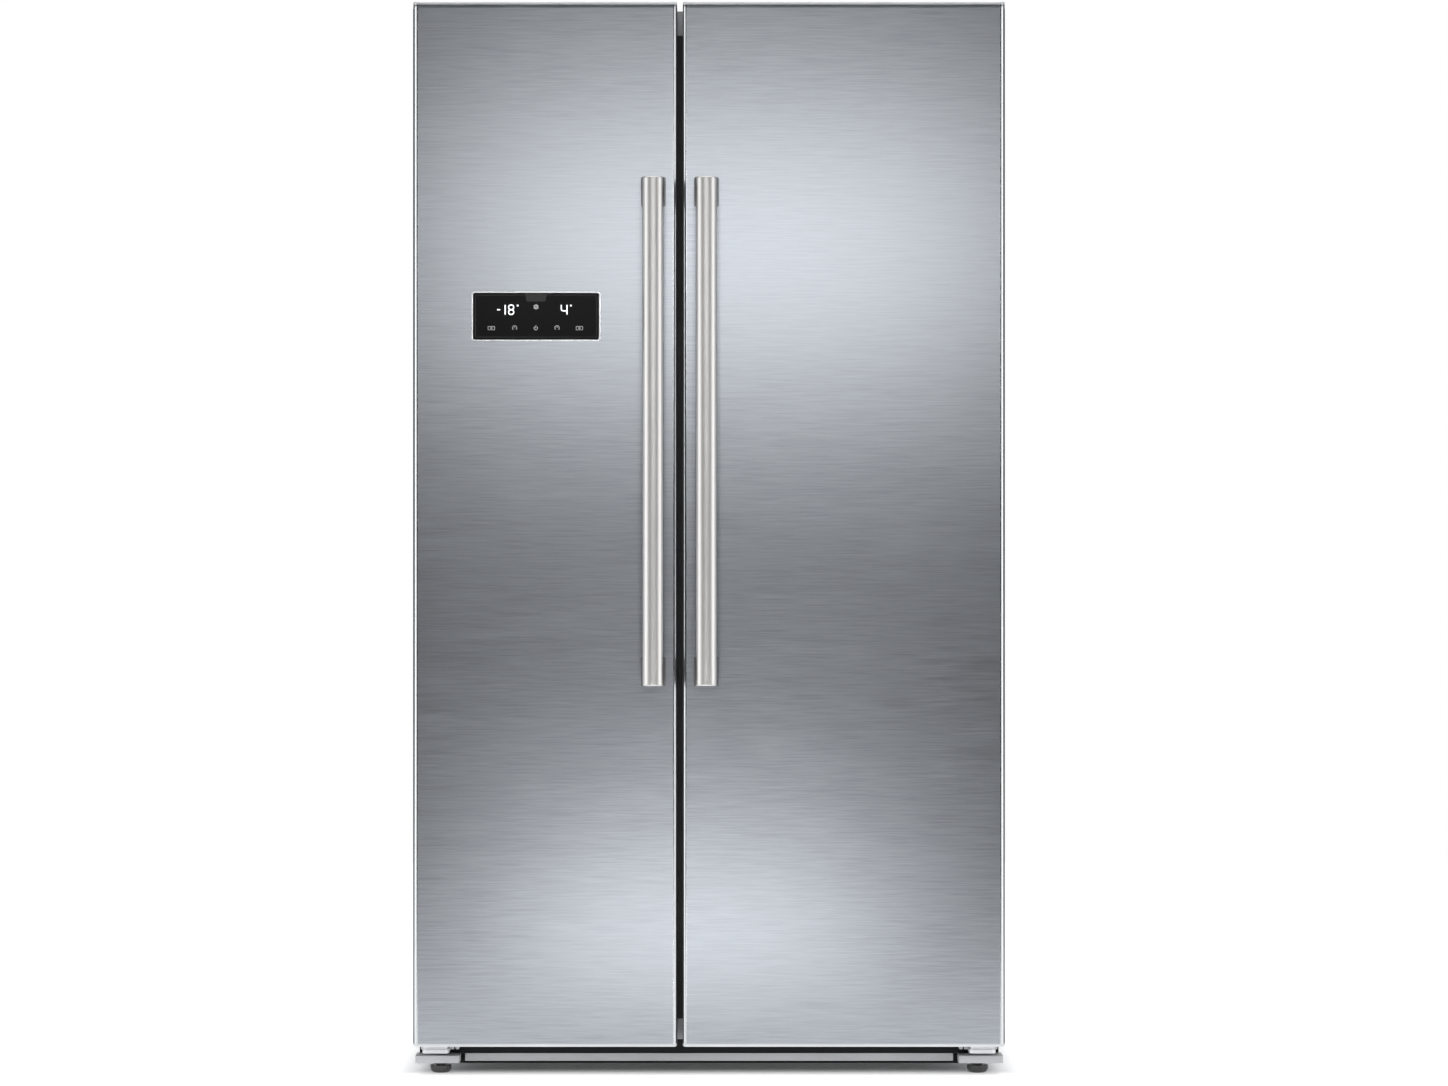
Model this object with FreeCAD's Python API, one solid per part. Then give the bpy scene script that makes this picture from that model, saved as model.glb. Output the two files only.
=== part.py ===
"""Side by side refrigerator: a narrow freezer and a wide refrigerator behind two full-height doors.

Millimetres. +Z is up, the doors face -Y, and the origin is on the floor under the middle of the
bounding box. Each function below makes one sub-part, and build() writes each to parts/NODE.step.
"""
import FreeCAD
import Part
import os
from math import cos, radians, sin, tan

V = FreeCAD.Vector

# ---- Driving dimensions -------------------------------------------------------------------------
WIDTH = 915.0            # over the two doors
BODY_DEPTH = 720.0       # door face to rear spacers
HANDLE_REACH = 48.0      # handles in front of the door faces

DOOR_FRONT = -(BODY_DEPTH - HANDLE_REACH) / 2    # y of the door faces
REAR_LIMIT = DOOR_FRONT + BODY_DEPTH             # y of the rear spacers
DOOR_THICK = 58.0
GASKET_THICK = 12.0
CABINET_FRONT = DOOR_FRONT + DOOR_THICK + GASKET_THICK
DOOR_BACK = DOOR_FRONT + DOOR_THICK
CABINET_BACK = REAR_LIMIT - 20.0

DOOR_BOTTOM = 50.0
DOOR_TOP = 1665.0
CABINET_BOTTOM = 54.0
CABINET_TOP = 1658.0
CABINET_HALF = WIDTH / 2 - 2.0
DOOR_HALF = WIDTH / 2

GAP_CENTRE = -45.0       # x of the gap between the doors
GAP = 9.0
SHEET = 1.0              # steel sheet
LINER = 2.0              # vacuum-formed plastic liner

# Compartments, inside their liners
CAVITY_LEFT = -405.0
CAVITY_RIGHT = 405.0
MULLION = 56.0
MULLION_LEFT = GAP_CENTRE - MULLION / 2
MULLION_RIGHT = GAP_CENTRE + MULLION / 2
CAVITY_BOTTOM = 108.0
CAVITY_TOP = 1600.0
CAVITY_BACK = 304.0
CAVITY_CORNER = 12.0     # radius along the compartments' long edges
LEDGE = 9.0              # shelf ledge width
RAIL_LEDGE = 9.0         # from the rail's underside to the drawer's underside
HUMP_FRONT = 104.0       # y where the machine compartment's step begins
HUMP_TOP = 340.0         # z of the step inside the compartments
MACHINE_FRONT = 164.0
MACHINE_TOP = 288.0
MACHINE_HALF = 425.0     # half the machine compartment's width

# Door hinges: both axes are vertical
HINGE_INSET = 22.0       # from the door's outer side
HINGE_DEPTH = 30.0       # behind the door's face
HINGE_X = DOOR_HALF - HINGE_INSET
HINGE_Y = DOOR_FRONT + HINGE_DEPTH
PIN_R = 5.0
PIN_CLEARANCE = 0.08
NOTCH_FLOOR = 1654.0     # recess for the upper hinge arm in the door's top
NOTCH_LIP = 5.0
NOTCH_INNER = 12.0       # how far the recess runs past the axis
HINGE_PLATE = 3.5        # thickness of the upper hinge plates
ARM_OUTER = 2.0          # the arm's edges from the axis: the outer one clears the open door's corner
ARM_INNER = 10.0

# Door edges
OUTER_RADIUS = 8.0
GAP_RADIUS = 6.0
CAP = 5.0                # end cap thickness

# Inner door: the raised ring (dyke) that enters the compartment
DYKE_DEPTH = 47.0
DYKE_WIDTH = 26.0
DYKE_HINGE_CLEAR = 8.0
DYKE_FREE_CLEAR = 16.0
DYKE_END_CLEAR = 8.0
DYKE_WALL = 8.0
DYKE_CORNER = 14.0
SOCKET_DEEP = 26.0       # upper hinge socket, below the recess
SOCKET_TOP = DOOR_BOTTOM + 28.0      # top of the lower hinge socket
GASKET_WIDTH = 17.0
GASKET_HINGE_INSET = 8.0  # from the hinge axis
GASKET_FREE_INSET = 3.5   # from the door's free edge
GASKET_BELOW = 26.0       # past the compartments' floor
GASKET_ABOVE = 24.0       # past the compartments' ceiling
GASKET_GAP = 0.3          # between the seal and the cabinet
GROOVE_WIDTH = 2.4
GROOVE_DEPTH = 3.0

# Handles
HANDLE_OFFSET = 41.0     # each side of the gap's centre
HANDLE_WIDTH = 32.0
HANDLE_DEPTH = 20.0
HANDLE_LOW = 609.0
HANDLE_HIGH = 1391.0
POST_WIDTH = 34.0
POST_HEIGHT = 41.0

# Display window in the freezer door
DISPLAY_X = -267.0
DISPLAY_Z = 1178.5
DISPLAY_W = 195.7
DISPLAY_H = 73.0
DISPLAY_R = 3.0
BEZEL_LIP = 2.0          # rim width round the glass
BEZEL_PROUD = 1.6        # rim in front of the door's face
BEZEL_SEAT = 0.5         # the glass sits this far in front of the face

# Shelves, drawers and bins
SHELF_HEIGHTS = (522.0, 790.0, 1058.0, 1326.0)
SHELF_FRONT = -150.0
GLASS = 4.0
TRIM_HEIGHT = 14.0
DRAWER_FRONT = -140.0
DRAWER_INSET = 28.0      # from the compartment's side walls
DRAWER_WALL = 2.5
LOWER_DRAWER = (118.0, 322.0)
UPPER_DRAWER = (352.0, 508.0)
LOWER_DRAWER_BACK = 96.0
BIN_HEIGHTS = (150.0, 432.0, 714.0, 996.0, 1278.0)
BIN_TALL = 118.0
BIN_BACK = DOOR_BACK + 1.0
BIN_FRONT = CABINET_FRONT + 100.0
BIN_CLEAR = 0.5          # between a bin and the raised ring
BIN_WALL = 2.5
BIN_CORNER = 12.0
BIN_LEVEL = 62.0         # depth of the bin's level rim, before it slopes to the front
BIN_DROP = 34.0          # how far the front rail lies below the rim

# Base
FOOT_X = 420.0
FOOT_Y = -245.0
FOOT_R = 16.5
STEM_R = 5.0
FRAME_BOTTOM = 32.0
FRAME_TOP = CABINET_BOTTOM
PLINTH_LOW = 20.0
PLINTH_HIGH = 32.0
STRIP_HALF = 381.0       # half the plinth strip's length
CAP_INNER = 388.0        # where the plinth's corner caps begin
ROLLER_X = 404.0
ROLLER_Y = 318.0
ROLLER_R = 20.0
ROLLER_W = 22.0
AXLE_R = 3.0
EAR = 3.0                # thickness of the ears that hold a roller's pin
CHANNEL_OUTER = 448.0
CHANNEL_INNER = 388.0

# Cooling circuit
FIN = 1.0
COIL_OVERHANG = 8.0      # how far the coils' bends stand out past the fins
SHAFT_R = 3.0
CONDENSER_FAN = (-20.0, 264.0, 166.0)
EVAPORATOR_FAN = (-239.0, 268.0, 1180.0)
COMPRESSOR = (262.0, 264.0)          # x, y of the pot's axis
POT_R = 72.0
POT_WALL = 3.0
FOOT_PLATE = 66.0        # underside of the compressor's foot plate
MACHINE_FLOOR = FRAME_TOP - 1.0
SLEEVE = (405.0, 110.0)  # x, z of the mains lead's sleeve
SLEEVE_R = 4.5


# ---- Helpers ------------------------------------------------------------------------------------
def box(x0, x1, y0, y1, z0, z1):
    """A box between two x, two y and two z values, given in either order."""
    low = V(min(x0, x1), min(y0, y1), min(z0, z1))
    return Part.makeBox(abs(x1 - x0), abs(y1 - y0), abs(z1 - z0), low)


def rod(radius, start, end):
    """A round bar between two points."""
    a, b = V(*start), V(*end)
    return Part.makeCylinder(radius, (b - a).Length, a, b - a)


def joined(shapes):
    """One solid made of overlapping or touching shapes."""
    whole = shapes[0].fuse(list(shapes[1:]))
    return whole.removeSplitter()


def group(shapes):
    """Separate solids in one node."""
    solids = []
    for shape in shapes:
        solids.extend(shape.Solids)
    return Part.makeCompound(solids)


def rounded(shape, radius, wanted):
    """The shape with the edges that wanted(edge) picks rounded."""
    return shape.makeFillet(radius, [e for e in shape.Edges if wanted(e)])


def runs_along(edge, axis):
    """True if a straight edge runs along the axis 'x', 'y' or 'z'."""
    if not isinstance(edge.Curve, Part.Line):
        return False
    step = edge.Vertexes[-1].Point - edge.Vertexes[0].Point
    return abs(getattr(step, axis)) > 0.999 * step.Length


def prism(points, axis, start, length):
    """A polygon, given as pairs across the axis, swept along it from start."""
    place = {
        "x": lambda a, b: V(start, a, b),
        "y": lambda a, b: V(a, start, b),
        "z": lambda a, b: V(a, b, start),
    }[axis]
    corners = [place(a, b) for a, b in points]
    face = Part.Face(Part.makePolygon(corners + corners[:1]))
    sweep = {"x": V(length, 0, 0), "y": V(0, length, 0), "z": V(0, 0, length)}[axis]
    return face.extrude(sweep)


def bent_tube(radius, points, bend):
    """A tube along straight runs joined by tangent arcs of one bend radius."""
    corners = [V(*p) for p in points]
    edges = []
    last = corners[0]
    for before, corner, after in zip(corners, corners[1:], corners[2:]):
        into = (corner - before).normalize()
        out = (after - corner).normalize()
        trim = bend * tan(into.getAngle(out) / 2)
        start = corner - into * trim
        end = corner + out * trim
        inward = (out - into).normalize()
        middle_gap = bend / cos(into.getAngle(out) / 2) - bend
        edges.append(Part.LineSegment(last, start).toShape())
        edges.append(Part.Arc(start, corner + inward * middle_gap, end).toShape())
        last = end
    edges.append(Part.LineSegment(last, corners[-1]).toShape())
    path = Part.Wire(edges)
    direction = (corners[1] - corners[0]).normalize()
    ring = Part.Wire([Part.makeCircle(radius, corners[0], direction)])
    return path.makePipeShell([ring], True, True)


def slots(count, pitch, make):
    """Cutters placed symmetrically about zero, made by make(offset)."""
    return [make((i - (count - 1) / 2) * pitch) for i in range(count)]


# ---- Door geometry shared by both doors ---------------------------------------------------------
class Door:
    """Where one door's edges lie. side is -1 for the freezer door and +1 for the fridge door."""

    def __init__(self, name, side):
        self.name = name
        self.side = side
        self.outer = side * DOOR_HALF
        self.free = GAP_CENTRE + side * GAP / 2
        self.hinge = side * HINGE_X
        self.wall = CAVITY_LEFT if side < 0 else CAVITY_RIGHT
        self.mullion = MULLION_LEFT if side < 0 else MULLION_RIGHT
        self.handle = GAP_CENTRE + side * HANDLE_OFFSET

    def across(self, from_outer, from_free):
        """The x values at these distances in from the outer side and from the free edge."""
        return self.outer - self.side * from_outer, self.free + self.side * from_free


FREEZER = Door("freezer", -1)
FRIDGE = Door("fridge", 1)


def door_section(door, inset, z0, z1, back):
    """The door's rounded outline, taken in by inset on the front and sides, between two heights."""
    x0, x1 = door.across(inset, inset)
    front = DOOR_FRONT + inset
    body = box(x0, x1, front, back, z0, z1)
    for x, radius in ((x0, OUTER_RADIUS), (x1, GAP_RADIUS)):
        body = rounded(body, radius - inset, lambda e: runs_along(e, "z")
                       and abs(e.CenterOfMass.x - x) < 0.01
                       and abs(e.CenterOfMass.y - front) < 0.01)
    return body


def hinge_notch(door):
    """The space that the upper hinge arm sweeps in the door's top, open at the back and side."""
    return box(door.outer + door.side * 2, door.hinge - door.side * NOTCH_INNER,
               DOOR_FRONT + NOTCH_LIP, DOOR_BACK + 2, NOTCH_FLOOR, DOOR_TOP + 2)


def hinge_bore(door, z0, z1):
    """The running bore round the door's hinge axis."""
    return rod(PIN_R + PIN_CLEARANCE, (door.hinge, HINGE_Y, z0), (door.hinge, HINGE_Y, z1))


def display_pocket(margin):
    """The window in the freezer door, grown by margin all round."""
    half_w = DISPLAY_W / 2 + margin
    half_h = DISPLAY_H / 2 + margin
    return box(DISPLAY_X - half_w, DISPLAY_X + half_w, DOOR_FRONT - 2, DOOR_FRONT + 18,
               DISPLAY_Z - half_h, DISPLAY_Z + half_h)


def door_skin(door):
    """Stainless sheet: the face and its two folded sides, between the end caps."""
    low, high = DOOR_BOTTOM + CAP, DOOR_TOP - CAP
    outside = door_section(door, 0, low, high, DOOR_BACK)
    inside = door_section(door, SHEET, low - 1, high + 1, DOOR_BACK + 1)
    skin = outside.cut(inside).cut(hinge_notch(door))
    if door is FREEZER:
        skin = skin.cut(display_pocket(-1.0))
    return skin


def door_caps(door):
    """Moulded end caps. Each holds a hinge socket, and the upper one the hinge arm's recess."""
    socket_x0 = door.outer - door.side * SHEET
    socket_x1 = door.hinge - door.side * (NOTCH_INNER + 2)
    made = []
    for low, high, socket_low, socket_high, outside in (
        (DOOR_TOP - CAP, DOOR_TOP, NOTCH_FLOOR - SOCKET_DEEP, DOOR_TOP - CAP, DOOR_TOP),
        (DOOR_BOTTOM, DOOR_BOTTOM + CAP, DOOR_BOTTOM + CAP, SOCKET_TOP, DOOR_BOTTOM),
    ):
        plate = door_section(door, 0, low, high, DOOR_BACK)
        plate = rounded(plate, 3.0, lambda e: abs(e.CenterOfMass.z - outside) < 0.01
                        and e.CenterOfMass.y < DOOR_BACK - 1)
        socket = box(socket_x0, socket_x1, DOOR_FRONT + SHEET + OUTER_RADIUS,
                     DOOR_BACK - LINER, socket_low, socket_high)
        cap = joined([plate, socket])
        if outside == DOOR_TOP:
            lip = box(socket_x0, socket_x1, DOOR_FRONT + SHEET + 0.5, DOOR_FRONT + 12,
                      NOTCH_FLOOR - 2, DOOR_TOP - CAP)
            lip = lip.common(door_section(door, SHEET, NOTCH_FLOOR - 2, DOOR_TOP - CAP, DOOR_BACK))
            cap = joined([cap, lip]).cut(hinge_notch(door))
        made.append(cap.cut(hinge_bore(door, min(low, socket_low) - 1, max(high, socket_high) + 1)))
    return group(made)


def dyke_span(door, inset):
    """The raised ring's outer x and z limits, taken in by inset, and its width there."""
    x0 = door.wall - door.side * (DYKE_HINGE_CLEAR + inset)
    x1 = door.mullion + door.side * (DYKE_FREE_CLEAR + inset)
    z0 = CAVITY_BOTTOM + DYKE_END_CLEAR + inset
    z1 = CAVITY_TOP - DYKE_END_CLEAR - inset
    return x0, x1, z0, z1, DYKE_WIDTH - 2 * inset


def door_liner(door):
    """Inner door panel with its raised ring, hollow on the foam side."""
    x0, x1 = door.across(SHEET, SHEET)
    plate = box(x0, x1, DOOR_BACK - LINER, DOOR_BACK, DOOR_BOTTOM + CAP, DOOR_TOP - CAP)
    back, tip = DOOR_BACK - LINER, DOOR_BACK + DYKE_DEPTH
    x0, x1, z0, z1, wide = dyke_span(door, 0)
    step = -door.side * wide
    outer = box(x0, x1, back, tip, z0, z1)
    outer = rounded(outer, DYKE_CORNER, lambda e: runs_along(e, "y"))
    outer = rounded(outer, DYKE_CORNER / 2, lambda e: abs(e.CenterOfMass.y - tip) < 0.01)
    inner = box(x0 + step, x1 - step, back - 1, tip + 1, z0 + wide, z1 - wide)
    inner = rounded(inner, DYKE_CORNER - 4, lambda e: runs_along(e, "y"))
    body = joined([plate, outer.cut(inner)])
    return body.cut(dyke_bars(door) + [hinge_notch(door), door_caps(door)])


def dyke_bars(door):
    """Foam inside the raised ring, as four straight bars."""
    back, tip = DOOR_BACK - LINER, DOOR_BACK + DYKE_DEPTH - DYKE_WALL
    x0, x1, z0, z1, wide = dyke_span(door, DYKE_WALL)
    step = -door.side * wide
    return [
        box(x0, x0 + step, back, tip, z0, z1),
        box(x1 - step, x1, back, tip, z0, z1),
        box(x0 + step, x1 - step, back, tip, z0, z0 + wide),
        box(x0 + step, x1 - step, back, tip, z1 - wide, z1),
    ]


def door_foam(door):
    """Insulation between skin and liner: one slab, and a bar in each side of the raised ring."""
    slab = door_section(door, SHEET, DOOR_BOTTOM + CAP, DOOR_TOP - CAP, DOOR_BACK - LINER)
    slab = slab.cut([door_caps(door), hinge_notch(door), hinge_bore(door, 0, SOCKET_TOP),
                     hinge_bore(door, NOTCH_FLOOR - SOCKET_DEEP, DOOR_TOP)])
    if door is FREEZER:
        slab = slab.cut(display_pocket(-1.0))
    return group([slab] + dyke_bars(door))


def gasket(door):
    """Magnetic seal on the inner door that meets the cabinet's front, with a groove round its edge."""
    x0 = door.hinge - door.side * GASKET_HINGE_INSET
    x1 = door.free + door.side * GASKET_FREE_INSET
    low, high = CAVITY_BOTTOM - GASKET_BELOW, CAVITY_TOP + GASKET_ABOVE
    back, face = DOOR_BACK, CABINET_FRONT - GASKET_GAP
    middle = (back + face) / 2

    def frame(inset, y0, y1, grow):
        s = door.side * inset
        return box(x0 - s, x1 + s, y0 - grow, y1 + grow, low + inset, high - inset)

    ring = frame(0, back, face, 0).cut(frame(GASKET_WIDTH, back, face, 1))
    half = GROOVE_WIDTH / 2
    groove = frame(-1, middle - half, middle + half, 0)
    return ring.cut(groove.cut(frame(GROOVE_DEPTH, middle - half, middle + half, 1)))


def bin_tray(door, z):
    """One door shelf: an open tray with a raised front rail."""
    x0 = door.wall - door.side * (DYKE_HINGE_CLEAR + DYKE_WIDTH + BIN_CLEAR)
    x1 = door.mullion + door.side * (DYKE_FREE_CLEAR + DYKE_WIDTH + BIN_CLEAR)
    step = -door.side * BIN_WALL
    top = z + BIN_TALL
    outer = box(x0, x1, BIN_BACK, BIN_FRONT, z, top)
    outer = rounded(outer, BIN_CORNER, lambda e: runs_along(e, "z") and e.CenterOfMass.y > BIN_FRONT - 1)
    front = BIN_FRONT - BIN_WALL
    inner = box(x0 + step, x1 - step, BIN_BACK + BIN_WALL, front, z + BIN_WALL, top + 1)
    inner = rounded(inner, BIN_CORNER - BIN_WALL, lambda e: runs_along(e, "z")
                    and e.CenterOfMass.y > front - 1)
    slope = prism([(BIN_BACK - 1, top + 1), (BIN_BACK + BIN_LEVEL, top + 1),
                   (BIN_FRONT + 1, top - BIN_DROP), (BIN_FRONT + 1, top + 2), (BIN_BACK - 1, top + 2)],
                  "x", min(x0, x1) - 1, abs(x1 - x0) + 2)
    return outer.cut(inner).cut(slope)


def door_bins(door):
    return group([bin_tray(door, z) for z in BIN_HEIGHTS])


def handle_section(door, grow):
    """The oval of the handle bar, grown by grow, as a face at the bar's lower end."""
    centre = V(door.handle, DOOR_FRONT - HANDLE_REACH + HANDLE_DEPTH / 2, HANDLE_LOW)
    oval = Part.Ellipse(centre, HANDLE_WIDTH / 2 + grow, HANDLE_DEPTH / 2 + grow)
    return Part.Face(Part.Wire([oval.toShape()]))


def handle_bar(door):
    bar = handle_section(door, 0).extrude(V(0, 0, HANDLE_HIGH - HANDLE_LOW))
    return rounded(bar, 1.5, lambda e: True)


def handle_posts(door):
    """Two saddles that hold the bar's ends off the door's face."""
    bar = handle_section(door, 0.05).extrude(V(0, 0, HANDLE_HIGH - HANDLE_LOW))
    made = []
    for z in (HANDLE_LOW, HANDLE_HIGH - POST_HEIGHT):
        post = box(door.handle - POST_WIDTH / 2, door.handle + POST_WIDTH / 2,
                   DOOR_FRONT - HANDLE_REACH + HANDLE_DEPTH / 2 + 1, DOOR_FRONT, z, z + POST_HEIGHT)
        post = rounded(post, 3.0, lambda e: runs_along(e, "y"))
        made.append(post.cut(bar))
    return group(made)


def display_bezel():
    """Silver rim on the door's face, with the tray behind it that holds the display board."""
    half_w, half_h = DISPLAY_W / 2, DISPLAY_H / 2

    def plate(grow, radius, y0, y1):
        body = box(DISPLAY_X - half_w - grow, DISPLAY_X + half_w + grow, y0, y1,
                   DISPLAY_Z - half_h - grow, DISPLAY_Z + half_h + grow)
        return rounded(body, radius, lambda e: runs_along(e, "y"))

    seat = DOOR_FRONT - BEZEL_SEAT
    rim = plate(BEZEL_LIP, DISPLAY_R + BEZEL_LIP, DOOR_FRONT - BEZEL_PROUD, DOOR_FRONT)
    tray = plate(-1.05, 1.0, DOOR_FRONT - BEZEL_SEAT, DOOR_FRONT + 17.9)
    window = plate(0, DISPLAY_R, DOOR_FRONT - 3, seat)
    inside = plate(-3, 1.0, DOOR_FRONT - 3, DOOR_FRONT + 16)
    return joined([rim, tray]).cut(window).cut(inside)


def display_glass():
    """Black touch glass in the bezel, with the circuit board's block behind it."""
    half_w, half_h = DISPLAY_W / 2 - 0.1, DISPLAY_H / 2 - 0.1
    seat = DOOR_FRONT - BEZEL_SEAT
    pane = box(DISPLAY_X - half_w, DISPLAY_X + half_w, DOOR_FRONT - BEZEL_PROUD + 0.2, seat,
               DISPLAY_Z - half_h, DISPLAY_Z + half_h)
    pane = rounded(pane, DISPLAY_R - 0.1, lambda e: runs_along(e, "y"))
    board = box(DISPLAY_X - half_w + 4, DISPLAY_X + half_w - 4, seat, DOOR_FRONT + 8,
                DISPLAY_Z - half_h + 4, DISPLAY_Z + half_h - 4)
    return joined([pane, board])


# ---- Cabinet ------------------------------------------------------------------------------------
def outer_shell():
    """Painted steel wrap: sides and top in one bent sheet, welded to the flange round the compartments."""
    def wrap(inset, y0, y1, z0):
        body = box(-CABINET_HALF + inset, CABINET_HALF - inset, y0, y1, z0, CABINET_TOP - inset)
        return rounded(body, 4.0 - inset, lambda e: runs_along(e, "y")
                       and e.CenterOfMass.z > CABINET_TOP - 5)
    outside = wrap(0, CABINET_FRONT, CABINET_BACK, CABINET_BOTTOM)
    inside = wrap(SHEET, CABINET_FRONT - 1, CABINET_BACK + 1, CABINET_BOTTOM - 1)
    flange = wrap(SHEET, CABINET_FRONT, CABINET_FRONT + SHEET, CABINET_BOTTOM)
    for x0, x1 in ((CAVITY_LEFT, MULLION_LEFT), (MULLION_RIGHT, CAVITY_RIGHT)):
        flange = flange.cut(box(x0 - LINER, x1 + LINER, CABINET_FRONT - 1, CABINET_FRONT + 2,
                                CAVITY_BOTTOM - LINER, CAVITY_TOP + LINER))
    return joined([outside.cut(inside), flange])


def cavity_profile(grow, front):
    """Side view of a compartment: a deep space with a step over the machine compartment."""
    low, high = CAVITY_BOTTOM - grow, CAVITY_TOP + grow
    return [(front, low), (HUMP_FRONT + grow, low), (HUMP_FRONT + grow, HUMP_TOP - grow),
            (CAVITY_BACK + grow, HUMP_TOP - grow), (CAVITY_BACK + grow, high), (front, high)]


def liner(x0, x1):
    """White compartment liner with moulded shelf ledges."""
    wide = x1 - x0
    outside = prism(cavity_profile(LINER, CABINET_FRONT), "x", x0 - LINER, wide + 2 * LINER)
    inside = prism(cavity_profile(0, CABINET_FRONT - 1), "x", x0, wide)
    inside = rounded(inside, CAVITY_CORNER, lambda e: runs_along(e, "y") and
                     min(abs(e.CenterOfMass.z - CAVITY_BOTTOM), abs(e.CenterOfMass.z - CAVITY_TOP)) < 1)
    pieces = [outside.cut(inside)]
    for wall, inward in ((x0, 1), (x1, -1)):
        for height in SHELF_HEIGHTS:
            pieces.append(box(wall - inward, wall + inward * LEDGE, SHELF_FRONT + 12, CAVITY_BACK - 80,
                              height - 8, height))
    return joined(pieces)


def cabinet_liners():
    return group([liner(CAVITY_LEFT, MULLION_LEFT), liner(MULLION_RIGHT, CAVITY_RIGHT)])


def drawer_rails():
    """Guides on the compartment walls: each has a cheek beside the drawer and a ledge under it."""
    cheek = DRAWER_INSET - 1.0
    made = []
    for door in (FREEZER, FRIDGE):
        x0, x1, _ = compartment(door)
        for wall, inward in ((x0, 1), (x1, -1)):
            for span, rear in ((LOWER_DRAWER, LOWER_DRAWER_BACK), (UPPER_DRAWER, 220.0)):
                base = span[0] - RAIL_LEDGE
                side = box(wall, wall + inward * cheek, DRAWER_FRONT + 6, rear, base, span[0] + 60)
                ledge = box(wall, wall + inward * (cheek + 12), DRAWER_FRONT + 16, rear,
                            base, span[0] - 0.5)
                rail = joined([side, ledge])
                if span is LOWER_DRAWER:
                    rail = rail.cut(box(wall - inward, wall + inward * CAVITY_CORNER, DRAWER_FRONT,
                                        rear + 1, base - 1, base + CAVITY_CORNER))
                made.append(rail)
    return group(made)


def cabinet_foam():
    """Insulation between shell and liners, as plain slabs that meet face to face."""
    side = CABINET_HALF - SHEET
    front, back = CABINET_FRONT + SHEET, CABINET_BACK - SHEET
    wall = -CAVITY_LEFT + LINER
    low, high = CAVITY_BOTTOM - LINER, CAVITY_TOP + LINER
    hump, over = HUMP_FRONT + LINER, HUMP_TOP - LINER
    rear = CAVITY_BACK + LINER
    top = CABINET_TOP - SHEET
    slabs = []
    for s in (-1, 1):
        upright = box(s * side, s * wall, front, back, MACHINE_TOP, top)
        slabs.append(rounded(upright, 3.0, lambda e: runs_along(e, "y")
                             and e.CenterOfMass.z > top - 1 and abs(e.CenterOfMass.x) > side - 1))
        slabs.append(box(s * side, s * wall, front, MACHINE_FRONT, CABINET_BOTTOM, MACHINE_TOP))
        slabs.append(box(s * side, s * MACHINE_HALF, MACHINE_FRONT, CABINET_BACK - 2, CABINET_BOTTOM,
                         MACHINE_TOP))
    m0, m1 = MULLION_LEFT + LINER, MULLION_RIGHT - LINER
    slabs.append(box(m0, m1, front, rear, over, high))
    slabs.append(box(m0, m1, front, hump, low, over))
    slabs.append(box(-wall, wall, front, back, high, top))
    slabs.append(box(-wall, wall, rear, back, over, high))
    slabs.append(box(-wall, wall, front, hump, CABINET_BOTTOM, low))
    slabs.append(box(-wall, wall, hump, MACHINE_FRONT, CABINET_BOTTOM, over))
    slabs.append(box(-wall, wall, MACHINE_FRONT, back, MACHINE_TOP, over))
    return group(slabs)


def rear_panel():
    """Flat ribbed steel back above the machine compartment, and four plastic wall spacers."""
    side = CABINET_HALF - SHEET
    sheet = box(-side, side, CABINET_BACK - SHEET, CABINET_BACK, MACHINE_TOP, CABINET_TOP - 4)
    ribs = slots(5, 150.0, lambda x: box(x - 9, x + 9, CABINET_BACK, CABINET_BACK + 2, 420, 1560))
    made = [joined([sheet] + ribs)]
    for x in (-375.0, 375.0):
        for z in (520.0, 1500.0):
            spacer = rod(14.0, (x, CABINET_BACK, z), (x, REAR_LIMIT, z))
            made.append(rounded(spacer, 2.0, lambda e: e.CenterOfMass.y > REAR_LIMIT - 1))
    return group(made)


def base_frame():
    """Folded steel chassis: two side channels, cross members and the machine compartment's floor."""
    pieces = []
    front, back = CABINET_FRONT + 4, CABINET_BACK - 4
    for s in (-1, 1):
        channel = box(s * CHANNEL_OUTER, s * CHANNEL_INNER, front, back - 2, FRAME_BOTTOM, FRAME_TOP)
        hollow = box(s * (CHANNEL_OUTER - 2), s * (CHANNEL_INNER + 2), front + 2, back - 4,
                     FRAME_BOTTOM + 3, FRAME_TOP - 2)
        well = box(s * (ROLLER_X + 26), s * (CHANNEL_INNER + 2), ROLLER_Y - 30, ROLLER_Y + 30,
                   FRAME_BOTTOM - 1, FRAME_TOP - 2)
        pieces.append(channel.cut(hollow).cut(well))
        for ear in (ROLLER_X - ROLLER_W / 2 - EAR - 2, ROLLER_X + ROLLER_W / 2 + 2):
            pieces.append(box(s * ear, s * (ear + EAR), ROLLER_Y - 14, ROLLER_Y + 14, 14, FRAME_TOP - 1))
    half = CHANNEL_INNER + 1
    pieces.append(box(-half, half, front, front + 40, FRAME_BOTTOM, FRAME_TOP))
    pieces.append(box(-half, half, MACHINE_FRONT - 20, back, FRAME_TOP - 3, FRAME_TOP - 1))
    pieces.append(box(-half, half, back - 4, back, FRAME_BOTTOM, FRAME_TOP - 1))
    bores = []
    for s in (-1, 1):
        foot, axle = s * FOOT_X, s * ROLLER_X
        bores.append(rod(STEM_R + PIN_CLEARANCE, (foot, FOOT_Y, 20), (foot, FOOT_Y, FRAME_TOP + 1)))
        bores.append(rod(AXLE_R + PIN_CLEARANCE, (axle - 24, ROLLER_Y, ROLLER_R),
                         (axle + 24, ROLLER_Y, ROLLER_R)))
    return joined(pieces).cut(bores)


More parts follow.
